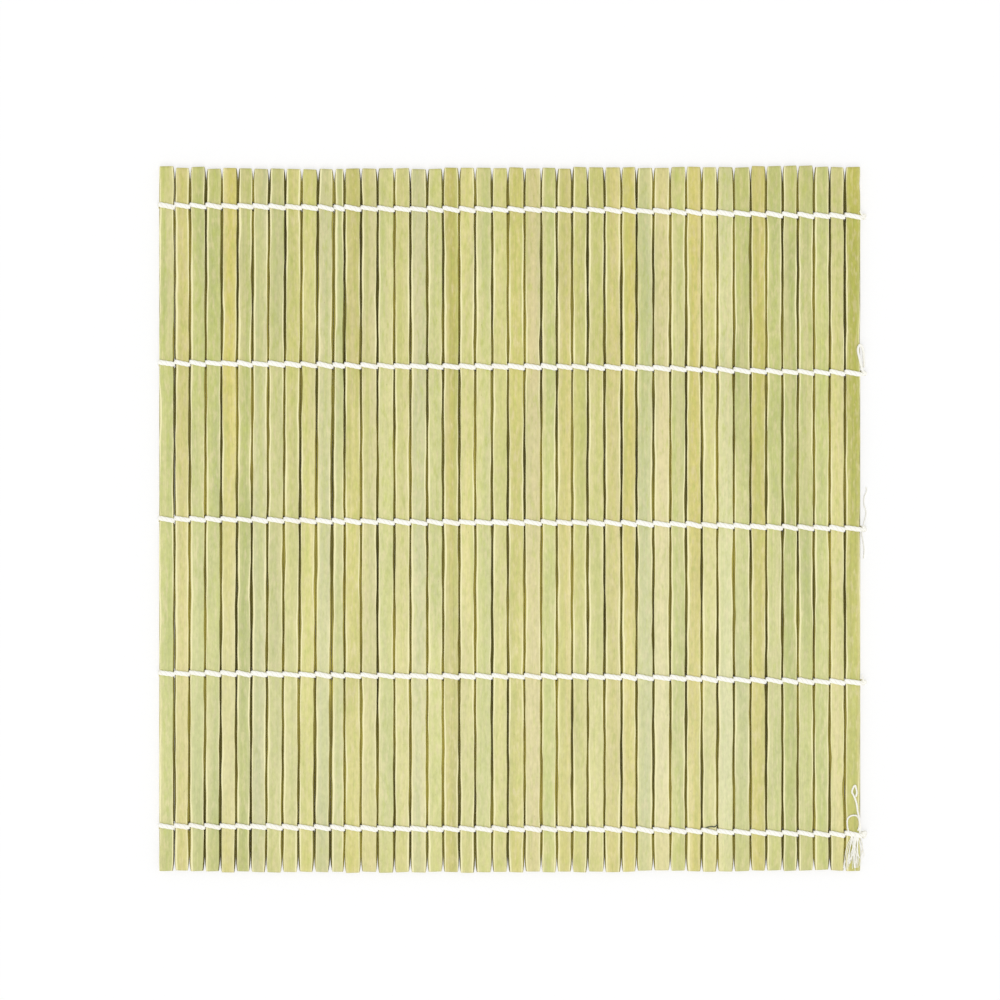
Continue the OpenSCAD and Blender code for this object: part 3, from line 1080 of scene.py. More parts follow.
    def _chipped(self, number: int, way: int, y: np.ndarray) -> np.ndarray:
        """Chips a slat's side.

        Args:
            number: The slat's number.
            way: 1 on its left side and -1 on its right.
            y: Where along the slat.

        Returns:
            How far the side is chipped away there.
        """
        gone = np.zeros_like(y)
        for chip in self.chips:
            if chip.slat == number and chip.right == (way < 0):
                gone += chip.depth * np.exp(-(((y - chip.y) / chip.reach) ** 2))
        return gone

    def _swell(self, y: np.ndarray, dice: np.random.Generator) -> np.ndarray:
        """Lets a split side swell below the skin.

        Args:
            y: Where along the slat.
            dice: The slat's own chance.

        Returns:
            How much of half its gap the side fills there.
        """
        out = np.full_like(y, self.belly)
        for size, length in ((0.06, 60), (0.05, 21), (0.04, 11)):
            out += size * wave(y, length * dice.uniform(0.8, 1.2), dice)
        return np.clip(out, 0.7, 0.97)

    def _gaps(self, slat: SlatPlace, y: np.ndarray) -> tuple[np.ndarray, np.ndarray]:
        """Measures the gaps beside a slat.

        Args:
            slat: Where the slat lies.
            y: Where along the slat.

        Returns:
            How wide the gaps on its left and on its right are there.
        """
        left, right = slat.sides(y)
        before, after = left - self.outer_gap, right + self.outer_gap
        if slat.number > 1:
            before = self.slats[slat.number - 2].sides(y)[1]
        if slat.number < len(self.slats):
            after = self.slats[slat.number].sides(y)[0]
        return left - before, after - right

    def _along(self, blank_y: np.ndarray, slat: SlatPlace, strings: np.ndarray) -> np.ndarray:
        """Moves the blank's even cross cuts to a slat's own heights.

        Args:
            blank_y: Where each corner is along the blank.
            slat: Where the slat lies.
            strings: How high each string crosses it.

        Returns:
            Where each corner is along the slat.
        """
        half_l = self.length / 2
        levels = self._levels(slat.top, slat.bottom, strings)
        marks = np.linspace(-half_l, half_l, len(levels))
        breaks = (1, len(levels) - 1)
        marks = np.insert(marks, breaks, (self.end_break - half_l, half_l - self.end_break))
        levels = np.insert(levels, breaks, (slat.bottom + self.end_break, slat.top - self.end_break))
        return np.interp(blank_y, marks, levels)

    def _split(
        self,
        slat: SlatPlace,
        y: np.ndarray,
        below: np.ndarray,
        strings: np.ndarray,
        dice: np.random.Generator,
    ) -> tuple[list[np.ndarray], list[np.ndarray]]:
        """Splits a slat's two long sides, as by hand.

        Args:
            slat: Where the slat lies.
            y: Where each corner is along it.
            below: How far each corner is below the skin, from 0 to 1.
            strings: How high each string crosses it.
            dice: The slat's own chance.

        Returns:
            The x of the left and of the right side at each corner, and how much narrower the pale
            line on each side is there.
        """
        nearest = np.abs(y[:, None] - strings[None, :]).min(axis=1)
        free = np.clip((nearest - 1.1) / 0.6, 0, 1)
        worn = np.clip(1 - np.minimum(slat.top - y, y - slat.bottom) / self.end_wear, 0, 1)
        sides, rims = [], []
        for side, way, gap in zip(slat.sides(y), (1, -1), self._gaps(slat, y)):
            narrowed = self.end_narrowing * worn**2 * np.clip(gap / self.usual_gap, 0, 1)
            side += way * (self._stray(y, dice) * (1 - below) + narrowed)
            side -= way * self._swell(y, dice) * gap / 2 * below * free * (1 - worn)
            side += way * self._chipped(slat.number, way, y) * (1 - 0.5 * below)
            wander = 0.2 * wave(y, dice.uniform(40, 120), dice)
            rims.append(0.1 - 0.08 * way + wander + dice.uniform(-0.16, 0.12))
            sides.append(side)
        return sides, rims

    def _tint(
        self,
        mesh: bpy.types.Mesh,
        slat: SlatPlace,
        y: np.ndarray,
        outer: np.ndarray,
        dice: np.random.Generator,
    ) -> None:
        """Keeps on a slat's mesh how bright and how faded it is.

        Args:
            mesh: The slat's mesh.
            slat: Where the slat lies.
            y: Where each corner is along it.
            outer: Which corners are on an outermost side.
            dice: The slat's own chance.
        """
        upper = np.clip((y + 20) / 120, 0, 1)
        shade = dice.uniform(0.965, 1.03) * (1 - self.upper_shade * upper)
        shade = shade * (self.dimming if slat.number in self.dimmed else 1.0)
        point_values(mesh, "shade", shade * np.where(outer, self.outer_light, 1.0))
        paled = np.interp(y, *self.fade_run) * self.fade * dice.uniform(0.75, 1.2)
        more = 1.0
        if slat.number in self.bleached:
            more = self.bleaching
        elif slat.number in self.washed:
            more = self.washing
        point_values(mesh, "fade", paled * more)

    def cut(self, blank: bpy.types.Mesh, kinds: np.ndarray, slat: SlatPlace) -> bpy.types.Mesh:
        """Copies the blank and splits the copy to one slat's own outline.

        Args:
            blank: The blank's mesh.
            kinds: The finish of each face.
            slat: Where the slat lies.

        Returns:
            The slat's mesh, in metres and in place.
        """
        dice = np.random.default_rng(self.seed + slat.number)
        mesh = blank.copy()
        rows = places(mesh)
        half_w, half_l = self.width / 2, self.length / 2
        blank_x, blank_y, blank_z = rows.T.copy()
        middle_x = (slat.left[0] + slat.right[1]) / 2
        strings = np.array([self.lines.y(row, middle_x) for row in self.lines.rows])
        y = self._along(blank_y, slat, strings)
        below = np.clip((self.side_top - blank_z) / 0.5, 0, 1)
        (left, right), rims = self._split(slat, y, below, strings, dice)
        rim = half_w - self.middle_share * half_w
        inner = half_w - rim
        stretch = ((right - left) / 2 - rim) / inner
        out = np.abs(blank_x)
        moved = np.where(out <= inner, out * stretch, inner * stretch + out - inner)
        rows[:, 0] = (left + right) / 2 + np.sign(blank_x) * moved
        skew = dice.uniform(-0.1, 0.1)
        rows[:, 1] = y + skew * blank_x / half_w * np.clip(np.abs(blank_y) / half_l, 0, 1) ** 8
        high = blank_z / self.thick
        bow = 0.025 * wave(y, dice.uniform(60, 120), dice)
        rows[:, 2] = slat.low + blank_z * (slat.high - slat.low) / self.thick + bow * high - 0.03 * high
        put_places(mesh, rows * MM)
        mesh.polygons.foreach_set("material_index", kinds)
        point_values(mesh, "edge_mm", half_w - out + np.where(blank_x < 0, rims[0], rims[1]))
        point_values(mesh, "end_mm", np.minimum(slat.top - y, y - slat.bottom))
        # The outermost sides are made brighter; the sides in the gaps keep their darker colour as painted
        # shade
        outer_way = {1: -1, len(self.slats): 1}.get(slat.number, 0)
        outer = (np.sign(blank_x) * outer_way > 0) & (out > rim) & (blank_z < self.side_top)
        self._tint(mesh, slat, y, outer, dice)
        return mesh

    def build(self, finisher: Finisher) -> list[SlatPlace]:
        """Builds, dresses and seats every slat.

        Args:
            finisher: The bench for materials.

        Returns:
            Where the slats lie.
        """
        skins = {tone: SkinFinish(tone).material(finisher) for tone in Tone}
        # The split sides' olive-brown is darker than split bamboo's pale straw: painted shade for the deep
        # gaps, and its strong change along the slats is painted shade that varies from gap to gap
        side = SplitFinish("split_side", (168, 160, 84), (130, 119, 54), 1.0).material(finisher)
        under = SplitFinish("split_underside", (226, 211, 164), (200, 178, 122), 0.12).material(finisher)
        end = EndFinish().material(finisher)
        blank = self.blank()
        kinds = self._faces(blank)
        self.slats = [SlatPlace.read(number) for number, _ in enumerate(self.tones, start=1)]
        for slat, tone in zip(self.slats, self.tones):
            node = f"slat_{slat.number:02d}"
            piece = place_piece(f"bamboo_{node}", self.cut(blank, kinds, slat))
            for material in (skins[tone], side, under, end):
                piece.data.materials.append(material)
            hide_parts(node)
            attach(piece, node + "_body")
            log.info("%s: %s, %d faces", piece.name, tone.name.lower(), len(piece.data.polygons))
        return self.slats


# Yarn, strings and knots


@dataclass
class Sweep:
    """A yarn swept along points.

    Attributes:
        rings: The corners of each ring, in millimetres.
        along: Where each ring lies on the yarn's map.
    """

    rings: np.ndarray
    along: np.ndarray

    def part(self, first: int, last: int) -> "Sweep":
        """The stretch from one ring to another, both included."""
        return Sweep(self.rings[first : last + 1], self.along[first : last + 1])


@dataclass(frozen=True)
class Yarn:
    """A twisted yarn. Sizes are in millimetres.

    Attributes:
        sides: Corners of a ring.
        plies: Plies that it is twisted of.
        lay: Length in which a ply goes once round.
        depth: How deep the grooves between the plies are, as a part of its radius.
        step: Distance between rings.
    """

    sides: int = 16
    plies: int = 3
    lay: float = 5.2
    depth: float = 0.13
    step: float = 0.28

    def follow(self, points: np.ndarray, marks: Sequence[int]) -> tuple[np.ndarray, list[int]]:
        """A smooth line of close points through far ones.

        Args:
            points: Rows of x, y, z, half width and half height.
            marks: Rows to be found again in the line.

        Returns:
            The close rows, and the rows of the marks among them.
        """
        padded = np.vstack([2 * points[0] - points[1], points, 2 * points[-1] - points[-2]])
        rows, found = [], {}
        for k in range(len(points) - 1):
            a, b, c, d = padded[k : k + 4]
            slope, bend, turn = c - a, 2 * a - 5 * b + 4 * c - d, 3 * b - a - 3 * c + d
            found[k] = len(rows)
            count = max(1, round(float(np.linalg.norm(c[:3] - b[:3])) / self.step))
            for t in np.arange(count) / count:
                rows.append(0.5 * (2 * b + slope * t + bend * t**2 + turn * t**3))
        found[len(points) - 1] = len(rows)
        rows.append(points[-1])
        return np.array(rows), [found[m] for m in marks]

    def sweep(self, line: np.ndarray, aside: tuple[float, float, float] = (0, 1, 0)) -> Sweep:
        """Sweeps the yarn's section along close points.

        Args:
            line: Rows of x, y, z, half width and half height.
            aside: The direction that the width keeps to.

        Returns:
            The rings.
        """
        place = line[:, :3]
        ahead = np.gradient(place, axis=0)
        ahead /= np.linalg.norm(ahead, axis=1)[:, None]
        side = np.array(aside, dtype=float) - ahead * (ahead @ np.array(aside, dtype=float))[:, None]
        side /= np.linalg.norm(side, axis=1)[:, None]
        up = np.cross(ahead, side)
        along = np.concatenate([[0], np.cumsum(np.linalg.norm(np.diff(place, axis=0), axis=1))])
        angle = 2 * np.pi * np.arange(self.sides) / self.sides
        lift = angle[None, :] - 2 * np.pi * along[:, None] / self.lay
        relief = 1 - self.depth * (1 - np.abs(np.cos(self.plies / 2 * lift)) ** 0.7)
        wide = np.sign(np.cos(angle)) * np.abs(np.cos(angle)) ** 0.86
        tall = np.sign(np.sin(angle)) * np.abs(np.sin(angle)) ** 0.86
        rings = (
            place[:, None, :]
            + side[:, None, :] * (line[:, 3][:, None] * wide[None, :] * relief)[:, :, None]
            + up[:, None, :] * (line[:, 4][:, None] * tall[None, :] * relief)[:, :, None]
        )
        return Sweep(rings, along / self.lay)

    def mesh(self, name: str, sweeps: Sequence[Sweep]) -> bpy.types.Mesh:
        """Joins sweeps into one mesh of closed tubes with the yarn's own map.

        Args:
            name: The mesh's name.
            sweeps: The tubes.

        Returns:
            The mesh, in metres.
        """
        corners, faces, sheet = [], [], []
        base = 0
        for tube in sweeps:
            count, sides = tube.rings.shape[:2]
            corners.append(tube.rings.reshape(-1, 3))
            for k in range(count - 1):
                low, high = tube.along[k], tube.along[k + 1]
                for j in range(sides):
                    a, b = base + k * sides + j, base + k * sides + (j + 1) % sides
                    faces.append((a, b, b + sides, a + sides))
                    u, v = j / sides, (j + 1) / sides
                    sheet += (u, low, v, low, v, high, u, high)
            for ring, way in ((0, -1), (count - 1, 1)):
                rim = [base + ring * sides + j for j in range(sides)][::way]
                faces.append(tuple(rim))
                sheet += [0.5, tube.along[ring]] * sides
            base += count * sides
        mesh = bpy.data.meshes.new(name)
        mesh.from_pydata((np.vstack(corners) * MM).tolist(), [], faces)
        mesh.uv_layers.new(name="lay").data.foreach_set("uv", np.array(sheet, dtype=np.float32))
        return mesh


def finish_yarn(piece: bpy.types.Object, material: bpy.types.Material) -> None:
    """Turns a yarn's faces outwards, smooths it and dresses it.

    Args:
        piece: The yarn's object.
        material: Its material.
    """
    activate(piece)
    bpy.ops.object.mode_set(mode="EDIT")
    bpy.ops.mesh.select_all(action="SELECT")
    bpy.ops.mesh.normals_make_consistent(inside=False)
    bpy.ops.object.mode_set(mode="OBJECT")
    bpy.ops.object.shade_smooth_by_angle(angle=math.radians(62))
    piece.data.materials.append(material)


@dataclass
class TwinedStrings:
    """The twined strings. Sizes are in millimetres.

    Attributes:
        slats: Where the slats lie.
        lines: Where the strings run.
        stitch_w: Width of a stitch.
        stitch_h: Height of a stitch.
        gap_w: Width of a leg in a gap.
        gap_t: Its thickness there.
        twist: Distance between the middles of the two legs in a gap.
        bend_reach: Half of the stretch that bends in a gap. Not used.
        yarn: The yarn that they are made of.
        seed: Where the stitches' variation starts.
    """

    slats: list[SlatPlace]
    lines: StringLines
    stitch_w: float = 1.7
    stitch_h: float = 0.84
    gap_w: float = 0.98
    gap_t: float = 0.5
    twist: float = 1.1
    bend_reach: float = 0.75
    yarn: Yarn = field(default_factory=Yarn)
    seed: int = 300

    def _over(self, row: int, i: int, side: int, dice: np.random.Generator) -> list[list[float]]:
        """Leads a leg over or under a slat.

        Args:
            row: The string's number.
            i: The slat's number.
            side: 1 over the slat and -1 under it.
            dice: The string's own chance.

        Returns:
            Its far points, from left to right.
        """
        slat = self.slats[i - 1]
        left, right = slat.sides(self.lines.y(row, slat.left[0]))
        half = self.stitch_h / 2
        z = slat.high + half - 0.03 if side > 0 else slat.low - half + 0.03
        wide = self.stitch_w / 2 * dice.uniform(0.92, 1.06)
        slant = side * self.twist * dice.uniform(0.62, 1.08)
        shift = dice.uniform(-0.05, 0.05)
        rows = []
        for part, lean, drop, w, h in (
            (-0.02, 0.42, 0.16, 0.9, 0.9),
            (0.1, 0.36, 0.02, 1.0, 1.0),
            (0.3, 0.17, 0.0, 1.0, 1.0),
            (0.5, 0.0, 0.0, 1.0, 1.0),
            (0.7, -0.17, 0.0, 1.0, 1.0),
            (0.9, -0.36, 0.02, 1.0, 1.0),
            (1.02, -0.42, 0.16, 0.9, 0.9),
        ):
            x = left + (right - left) * part
            y = self.lines.y(row, x) + slant * lean + shift + dice.uniform(-0.025, 0.025)
            rows.append([x, y, z - side * drop, wide * w, half * h])
        return rows

    def _through(self, row: int, k: int, side: int) -> list[list[float]]:
        """Leads a leg through a gap.

        Args:
            row: The string's number.
            k: The gap's number.
            side: The side that it comes from, 1 above and -1 below.

        Returns:
            Its far points, from left to right.
        """
        one, two = self.slats[k - 1], self.slats[k]
        y = self.lines.y(row, one.right[0])
        x = (one.sides(y)[1] + two.sides(y)[0]) / 2
        middle = (one.low + one.high) / 2
        aside = y - side * self.twist / 2
        return [
            [x - 0.02, aside, middle + side * 0.5, self.gap_w / 2, self.gap_t / 2],
            [x + 0.02, aside, middle - side * 0.5, self.gap_w / 2, self.gap_t / 2],
        ]

    def route(self, row: int) -> tuple[np.ndarray, list[int]]:
        """A string's far points, from the knot along one leg to the fold and back along the other.

        Args:
            row: The string's number.

        Returns:
            The points, and which of them are over or under the middle of a slat.
        """
        dice = np.random.default_rng(self.seed + row)
        count = len(self.slats)
        first, last = self.slats[0], self.slats[-1]
        middle = (first.low + first.high) / 2
        legs = []
        for leg in (0, 1):
            points, marks = [], []
            for i in range(1, count + 1):
                side = 1 if (i + leg) % 2 == 0 else -1
                marks.append(len(points) + 3)
                points += self._over(row, i, side, dice)
                if i < count:
                    points += self._through(row, i, side)
            side = 1 if (count + leg) % 2 == 0 else -1
            y_end = self.lines.y(row, last.right[0])
            right = last.sides(y_end)[1]
            points.append([right + 0.5, y_end - side * 0.4, middle + side * 0.9, 0.62, 0.4])
            points.append([right + 1.0, y_end - side * 0.2, middle + side * 0.35, 0.5, 0.4])
            legs.append((points, marks))
        back = legs[0][0][::-1]
        marks = [len(back) - 1 - m for m in legs[0][1]][::-1]
        y_fold = self.lines.y(row, first.left[0])
        edge = first.sides(y_fold)[0]
        fold = [[edge - 0.3, y_fold + s * 0.1, middle + s * 0.62, 0.62, 0.3] for s in (-1, 1)]
        fold.insert(1, [edge - 0.36, y_fold, middle, 0.6, 0.29])
        marks += [len(back) + len(fold) + m for m in legs[1][1]]
        return np.array(back + fold + legs[1][0]), marks

    def build(self, finisher: Finisher) -> None:
        """Builds every string in the stretches that bend in one gap each.

        Args:
            finisher: The bench for materials.
        """
        cotton = CottonFinish().material(finisher)
        count = len(self.slats)
        nodes = [f"string_{row}" for row in self.lines.rows]
        stretches: dict[int, list[Sweep]] = {k: [] for k in range(count + 1)}
        for row in self.lines.rows:
            points, marks = self.route(row)
            line, rings = self.yarn.follow(points, marks)
            whole = self.yarn.sweep(line)
            middles = [0, *rings, len(line) - 1]
            gaps = [*range(count, 0, -1), 0, *range(1, count + 1)]
            for gap, first, last in zip(gaps, middles, middles[1:]):
                stretches[gap].append(whole.part(first, last))
        for gap, tubes in stretches.items():
            name = {0: "string_folds", count: "string_ends"}.get(gap, f"string_stitches_{gap:02d}")
            piece = place_piece(name, self.yarn.mesh(name, tubes))
            finish_yarn(piece, cotton)
            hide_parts(*nodes)
            if gap in (0, count):
                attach(piece, f"slat_{max(gap, 1):02d}_body")
            else:
                self._bend(piece)
            log.info("%s: %d tubes, %d faces", name, len(tubes), len(piece.data.polygons))

    def _bend(self, piece: bpy.types.Object) -> None:
        """Bakes a stretch's place into its mesh.

        Args:
            piece: The stretch's object.
        """
        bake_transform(piece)


@dataclass(frozen=True)
class FreeEnd:
    """A yarn's free end past a knot.

    Attributes:
        points: Its x and y from the knot's middle and its z over the table, in millimetres.
        radius: Its radius.
    """

    points: tuple[tuple[float, float, float], ...]
    radius: float = 0.28


@dataclass(frozen=True)
class KnotPlan:
    """How one string ends.

    Attributes:
        row: The string's number.
        size: The knot's size, next to a knot about 2.6 mm across.
        turn: How far the knot is turned, in degrees.
        ends: Its free ends.
        frayed: Whether its last end is frayed into a tassel.
    """

    row: int
    size: float
    turn: float
    ends: tuple[FreeEnd, ...] = ()
    frayed: bool = False


@dataclass(frozen=True)
class Lock:
    """A lock of the frayed tassel: strands that keep together.

    Attributes:
        start: Where it starts, in x and y from the knot's middle, in millimetres.
        tip: Where it ends.
        strands: How many strands it has.
        curl: How far it bows to the side.
    """

    start: tuple[float, float]
    tip: tuple[float, float]
    strands: int
    curl: float


@dataclass
class EdgeKnots:
    """The knots past the last slat. Sizes are in millimetres.

    Attributes:
        strings: The strings that end in them.
        plans: How each string ends.
        tassel: The tassel's locks.
        yarn: The yarn of the knots.
        thread: The thread of free ends.
        strand: One frayed strand.
        seed: Where the tassel's variation starts.
    """

    strings: TwinedStrings
    plans: tuple[KnotPlan, ...]
    tassel: tuple[Lock, ...]
    yarn: Yarn = field(default_factory=lambda: Yarn(14, 3, 3.6, 0.16, 0.14))
    thread: Yarn = field(default_factory=lambda: Yarn(8, 2, 1.6, 0.2, 0.2))
    strand: Yarn = field(default_factory=lambda: Yarn(5, 2, 3.0, 0.0, 0.5))
    seed: int = 41

    def _turns(self, plan: KnotPlan) -> np.ndarray:
        """Draws up an overhand knot.

        Args:
            plan: How the string ends.

        Returns:
            Its close points about its middle, as rows of x, y, z, half width and half height.
        """
        t = np.linspace(0, 2 * np.pi, 90)
        x = np.sin(t) + 2 * np.sin(2 * t)
        y = np.cos(t) - 2 * np.cos(2 * t)
        z = -np.sin(3 * t)
        scale = 0.27 * plan.size
        turn = math.radians(plan.turn)
        rows = np.stack(
            [
                scale * (x * math.cos(turn) - y * math.sin(turn)),
                scale * (x * math.sin(turn) + y * math.cos(turn)),
                scale * 1.5 * z,
                np.full_like(t, 0.55 * plan.size),
                np.full_like(t, 0.55 * plan.size),
            ],
            axis=1,
        )
        return rows

    def _tassel(self, root: Vector) -> list[Sweep]:
        """Frays an end into locks of fine strands that fan out and cross over the last slat.

        Args:
            root: The middle of the knot.

        Returns:
            The strands.
        """
        dice = np.random.default_rng(self.seed)
        last = self.strings.slats[-1]
        bed = last.high + 0.14
        tubes = []
        for n, lock in enumerate(self.tassel):
            layer = 0.16 * (n % 3)
            for _ in range(lock.strands):
                spread, bend = dice.normal(0, 0.5), lock.curl + dice.normal(0, 0.26)
                start_x, short = dice.normal(0, 0.14), dice.uniform(0.82, 1.04)
                turn, phase = dice.uniform(0.5, 1.4), dice.uniform(0, 2 * np.pi)
                lift = dice.uniform(0.0, 0.3)
                rows = []
                for t in np.linspace(0, 1, 9):
                    reach = t * short
                    x = root.x + lock.start[0] + start_x + (lock.tip[0] - lock.start[0] + spread) * reach
                    x += bend * math.sin(math.pi * t) + 0.12 * math.sin(turn * 2 * math.pi * t + phase)
                    y = root.y + lock.start[1] + (lock.tip[1] - lock.start[1]) * reach
                    over = min(1.0, max(0.0, (last.right[1] + 0.3 - x) / 0.6))
                    rest = (bed + layer) * over + 0.5 * (1 - over)
                    z = rest + lift * math.sin(math.pi * min(1.0, t * 1.15)) + 0.3 * (1 - t)
                    thick = 0.125 * (1 - 0.3 * t)
                    rows.append([x, y, z, thick, thick * 0.85])
                line, _ = self.strand.follow(np.array(rows), ())
                tubes.append(self.strand.sweep(line, (1, 0, 0)))
        return tubes

    def build(self, finisher: Finisher) -> None:
        """Builds, dresses and seats every knot.

        Args:
            finisher: The bench for materials.
        """
        cotton = CottonFinish("cotton_knot").material(finisher)
        last = self.strings.slats[-1]
        middle = (last.low + last.high) / 2
        for plan in self.plans:
            y = self.strings.lines.y(plan.row, last.right[0])
            root = Vector((last.sides(y)[1] + 1.2, y, middle))
            line = self._turns(plan)
            line[:, :3] += np.array(root)
            tubes = [self.yarn.sweep(line, (0.1, 0.2, 1.0))]
            for end in plan.ends:
                rows = [[root.x + x, root.y + dy, z, end.radius, end.radius] for x, dy, z in end.points]
                close, _ = self.thread.follow(np.array(rows), ())
                tubes.append(self.thread.sweep(close, (0, 0, 1)))
            if plan.frayed:
                tubes += self._tassel(root)
            name = f"string_knot_{plan.row}"
            piece = place_piece(name, self.yarn.mesh(name, tubes))
            finish_yarn(piece, cotton)
            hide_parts(f"knot_{plan.row}")
            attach(piece, "slat_44_body")
            log.info("%s: %d tubes, %d faces", name, len(tubes), len(piece.data.polygons))


@dataclass(frozen=True)
class CaughtFibre:
    """A dark fibre caught at a stitch. Lengths are in millimetres.

    Attributes:
        slat: The number of the slat that it lies on.
        points: Its x and y.
        radius: Its radius.
    """

    slat: int = 35
    points: tuple[tuple[float, float], ...] = (
        (65.1, -105.3), (66.1, -104.8), (67.4, -104.6), (68.4, -104.7), (69.3, -104.0),
    )
    radius: float = 0.2

    def build(self, finisher: Finisher, slats: Sequence[SlatPlace]) -> None:
        """Builds, dresses and seats the fibre.

        Args:
            finisher: The bench for materials.
            slats: Where the slats lie.
        """
        z = slats[self.slat - 1].high + self.radius - 0.04
        yarn = Yarn(8, 2, 1.4, 0.25, 0.15)
        rows = [[x, y, z + 0.08 * (n % 2), self.radius, self.radius] for n, (x, y) in enumerate(self.points)]
        line, _ = yarn.follow(np.array(rows), ())
        piece = place_piece("caught_fibre", yarn.mesh("caught_fibre", [yarn.sweep(line)]))
        point_values(piece.data, "shade", np.ones(len(piece.data.vertices)))
        finish_yarn(piece, SplitFinish("caught_fibre", (92, 100, 88), (52, 60, 52), 0.2).material(finisher))
        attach(piece, f"slat_{self.slat:02d}_body")
        log.info("%s: %d faces", piece.name, len(piece.data.polygons))


# The studio


@dataclass
class Studio:
    """The floor, the light and the camera. Lengths are in metres.

    Attributes:
        floor_size: Side of the floor.
        fill: Strength of the even light from all round.
        key: Strength of the soft light from the lower edge.
        key_height: Its height over the horizon, in degrees.
        eye: What the camera is straight above, in x and y.
        eye_height: How far the camera is above the slats.
        field_width: Width of what it sees there.
        slat_top: Height of the slats' skin.
        mat: Half of the mat's width and length.
    """

    floor_size: float = 6.0
    fill: float = 0.77
    key: float = 0.26
    key_height: float = 66.0
    eye: tuple[float, float] = (-0.00472, 0.00655)
    eye_height: float = 2.0
    field_width: float = 0.3404
    slat_top: float = 0.0027
    mat: tuple[float, float] = (0.1193, 0.12)

    def floor(self, finisher: Finisher) -> None:
        """Lays the floor.

        Args:
            finisher: The bench for materials.
        """
        deselect()
        bpy.ops.mesh.primitive_plane_add(size=self.floor_size)
        ground = bpy.context.active_object
        ground.name = "floor"
        ground.data.materials.append(FloorFinish(self.mat).material(finisher))

    def light(self) -> None:
        """Lights the world evenly, white to the camera, and adds one soft lamp."""
        world = bpy.data.worlds.new("studio")
        world.use_nodes = True
        world.node_tree.nodes.clear()
        board = Board(world.node_tree)
        strength = board.calc("MULTIPLY_ADD", board.straight(), 1.0 - self.fill, self.fill)
        sky = board.node("Background", {"Color": (1, 1, 1, 1), "Strength": strength})
        board.node("OutputWorld", {"Surface": sky.outputs[0]})
        bpy.context.scene.world = world
        lamp = bpy.data.lights.new("soft_key", "SUN")
        lamp.energy = self.key * math.pi / math.sin(math.radians(self.key_height))
        lamp.angle = math.radians(38)
        holder = bpy.data.objects.new("soft_key", lamp)
        holder.rotation_euler = (math.radians(90 - self.key_height), 0, 0)
        bpy.context.scene.collection.objects.link(holder)

    def camera(self) -> None:
        """Sets the camera straight above the mat."""
        glass = bpy.data.cameras.new("camera")
        glass.sensor_width = 36.0
        glass.lens = 36.0 * self.eye_height / self.field_width
        glass.clip_start = 0.01
        glass.clip_end = 30.0
        holder = bpy.data.objects.new("camera", glass)
        holder.location = (*self.eye, self.slat_top + self.eye_height)
        bpy.context.scene.collection.objects.link(holder)
        bpy.context.scene.camera = holder
        bpy.context.scene.view_settings.view_transform = "Standard"


# Where the slats' sides are chipped
CHIPS = (
    Chip(43, True, -92.2, 0.42, 3.4), Chip(44, True, 114.2, 0.4, 1.6), Chip(44, True, 62.0, 0.3, 5.0),
    Chip(24, True, 61.5, 0.3, 3.0), Chip(6, False, -24.0, 0.3, 3.0), Chip(40, False, -33.5, 0.25, 2.6),
)
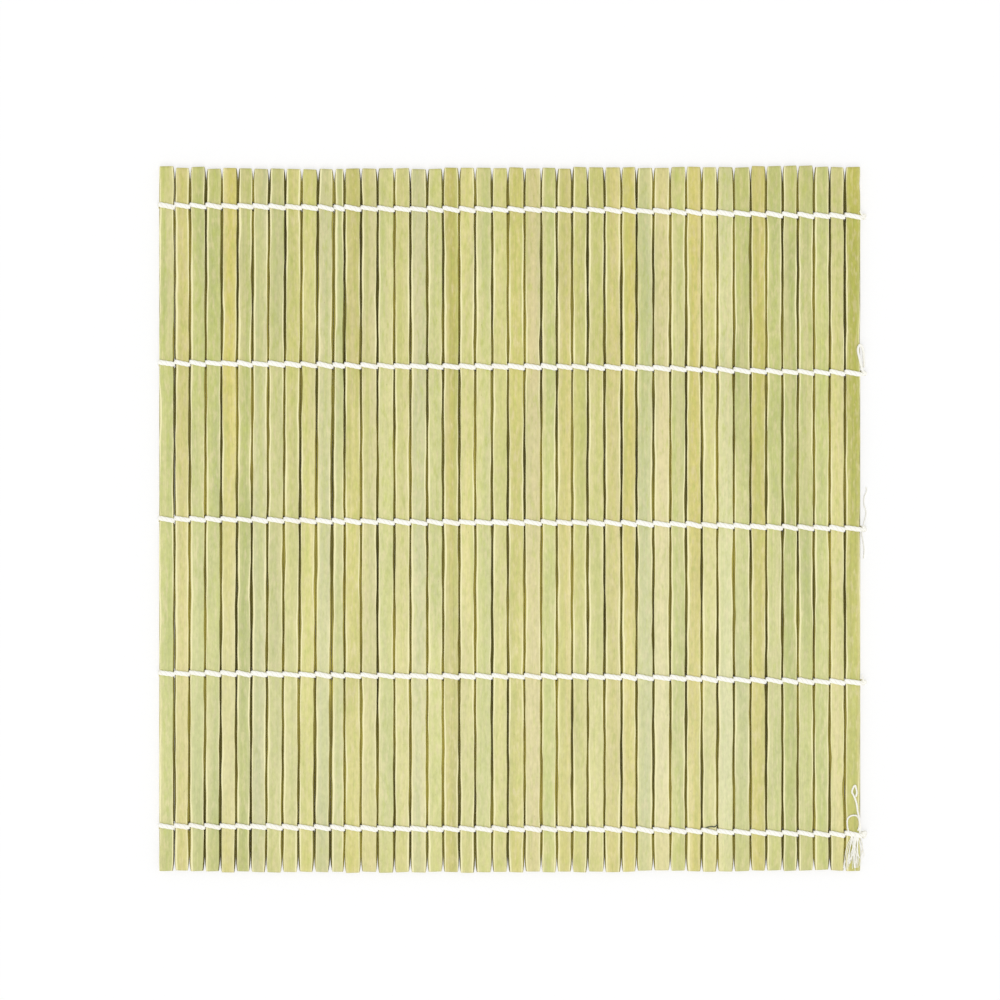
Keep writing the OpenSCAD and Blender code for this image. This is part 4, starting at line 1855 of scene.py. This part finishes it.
# The knots and free ends, from the uppermost string to the lowest
KNOTS = (
    KnotPlan(1, 0.86, 20, (FreeEnd(((-0.3, 0.2, 2.9), (-0.9, 0.9, 3.2), (-1.2, 1.9, 3.1)), 0.3),)),
    KnotPlan(
        2, 0.9, 75,
        (
            FreeEnd(
                (
                    (0.1, 0.3, 2.6), (-0.6, 1.4, 3.3), (-1.3, 4.4, 3.3), (-2.0, 7.6, 3.25), (-1.6, 9.4, 3.2),
                    (-0.7, 9.3, 3.0), (-0.1, 7.4, 2.3), (0.1, 4.6, 1.8), (0.2, 2.0, 1.6),
                ),
                0.44,
            ),
        ),
    ),
    KnotPlan(
        3, 0.92, 40,
        (
            FreeEnd(
                (
                    (0.2, 0.3, 2.4), (0.0, 1.6, 2.0), (0.6, 3.6, 1.1), (0.9, 5.8, 0.7), (0.2, 8.4, 0.5),
                    (0.4, 11.0, 0.4), (1.1, 12.6, 0.35), (1.0, 14.2, 0.35),
                ),
                0.26,
            ),
            FreeEnd(
                (
                    (-0.2, -0.4, 1.8), (-0.6, -1.6, 1.4), (-0.1, -4.2, 0.6), (0.3, -7.4, 0.35),
                    (0.1, -10.2, 0.35),
                ),
                0.24,
            ),
        ),
    ),
    KnotPlan(4, 0.88, 100, (FreeEnd(((0.0, 0.3, 2.4), (-0.3, 1.2, 2.6), (-0.5, 2.6, 2.4)), 0.3),)),
    KnotPlan(
        5, 1.1, 10,
        (
            FreeEnd(
                (
                    (-5.2, 0.9, 3.3), (-5.6, 3.0, 3.15), (-5.6, 5.0, 3.1), (-4.8, 6.1, 3.1), (-3.6, 6.5, 3.1),
                    (-2.3, 6.3, 3.1), (-1.6, 4.9, 3.1), (-1.5, 3.1, 3.15), (-2.0, 1.3, 3.4),
                ),
                0.3,
            ),
            FreeEnd(
                (
                    (-1.3, 0.6, 3.0), (-1.3, 3.0, 3.6), (-1.7, 6.0, 3.6), (-2.1, 7.8, 3.2), (-2.3, 9.6, 3.1),
                    (-2.7, 11.4, 3.1), (-3.4, 13.2, 3.1), (-4.0, 14.4, 3.1), (-3.7, 15.7, 3.1),
                    (-3.0, 16.7, 3.12), (-2.6, 15.6, 3.2), (-2.4, 14.2, 3.3), (-2.7, 12.9, 3.4),
                ),
                0.34,
            ),
        ),
        True,
    ),
)
# The locks of the frayed end of the lowest string, from left to right at their tips
TASSEL = (
    Lock((-3.9, -0.3), (-6.2, -11.6), 8, -0.3),
    Lock((-2.6, -0.5), (-4.9, -10.6), 6, 0.3),
    Lock((-3.0, -0.2), (-3.4, -11.9), 7, -0.2),
    Lock((-4.2, -0.2), (-2.2, -11.3), 7, 0.3),
    Lock((-2.0, -0.3), (-1.4, -10.2), 6, -0.2),
    Lock((-1.6, 0.0), (-0.5, -8.2), 4, 0.3),
)


def main() -> None:
    """Builds the mat and its studio, in order."""
    logging.basicConfig(level=logging.INFO, format="%(message)s")
    finisher = Finisher(Effects())
    studio = Studio()
    studio.camera()
    lines = StringLines(5)
    slats = SlatRow(lines, chips=CHIPS).build(finisher)
    strings = TwinedStrings(slats, lines)
    strings.build(finisher)
    EdgeKnots(strings, KNOTS, TASSEL).build(finisher)
    CaughtFibre().build(finisher, slats)
    studio.floor(finisher)
    studio.light()
    deselect()


if __name__ == "__main__":
    main()
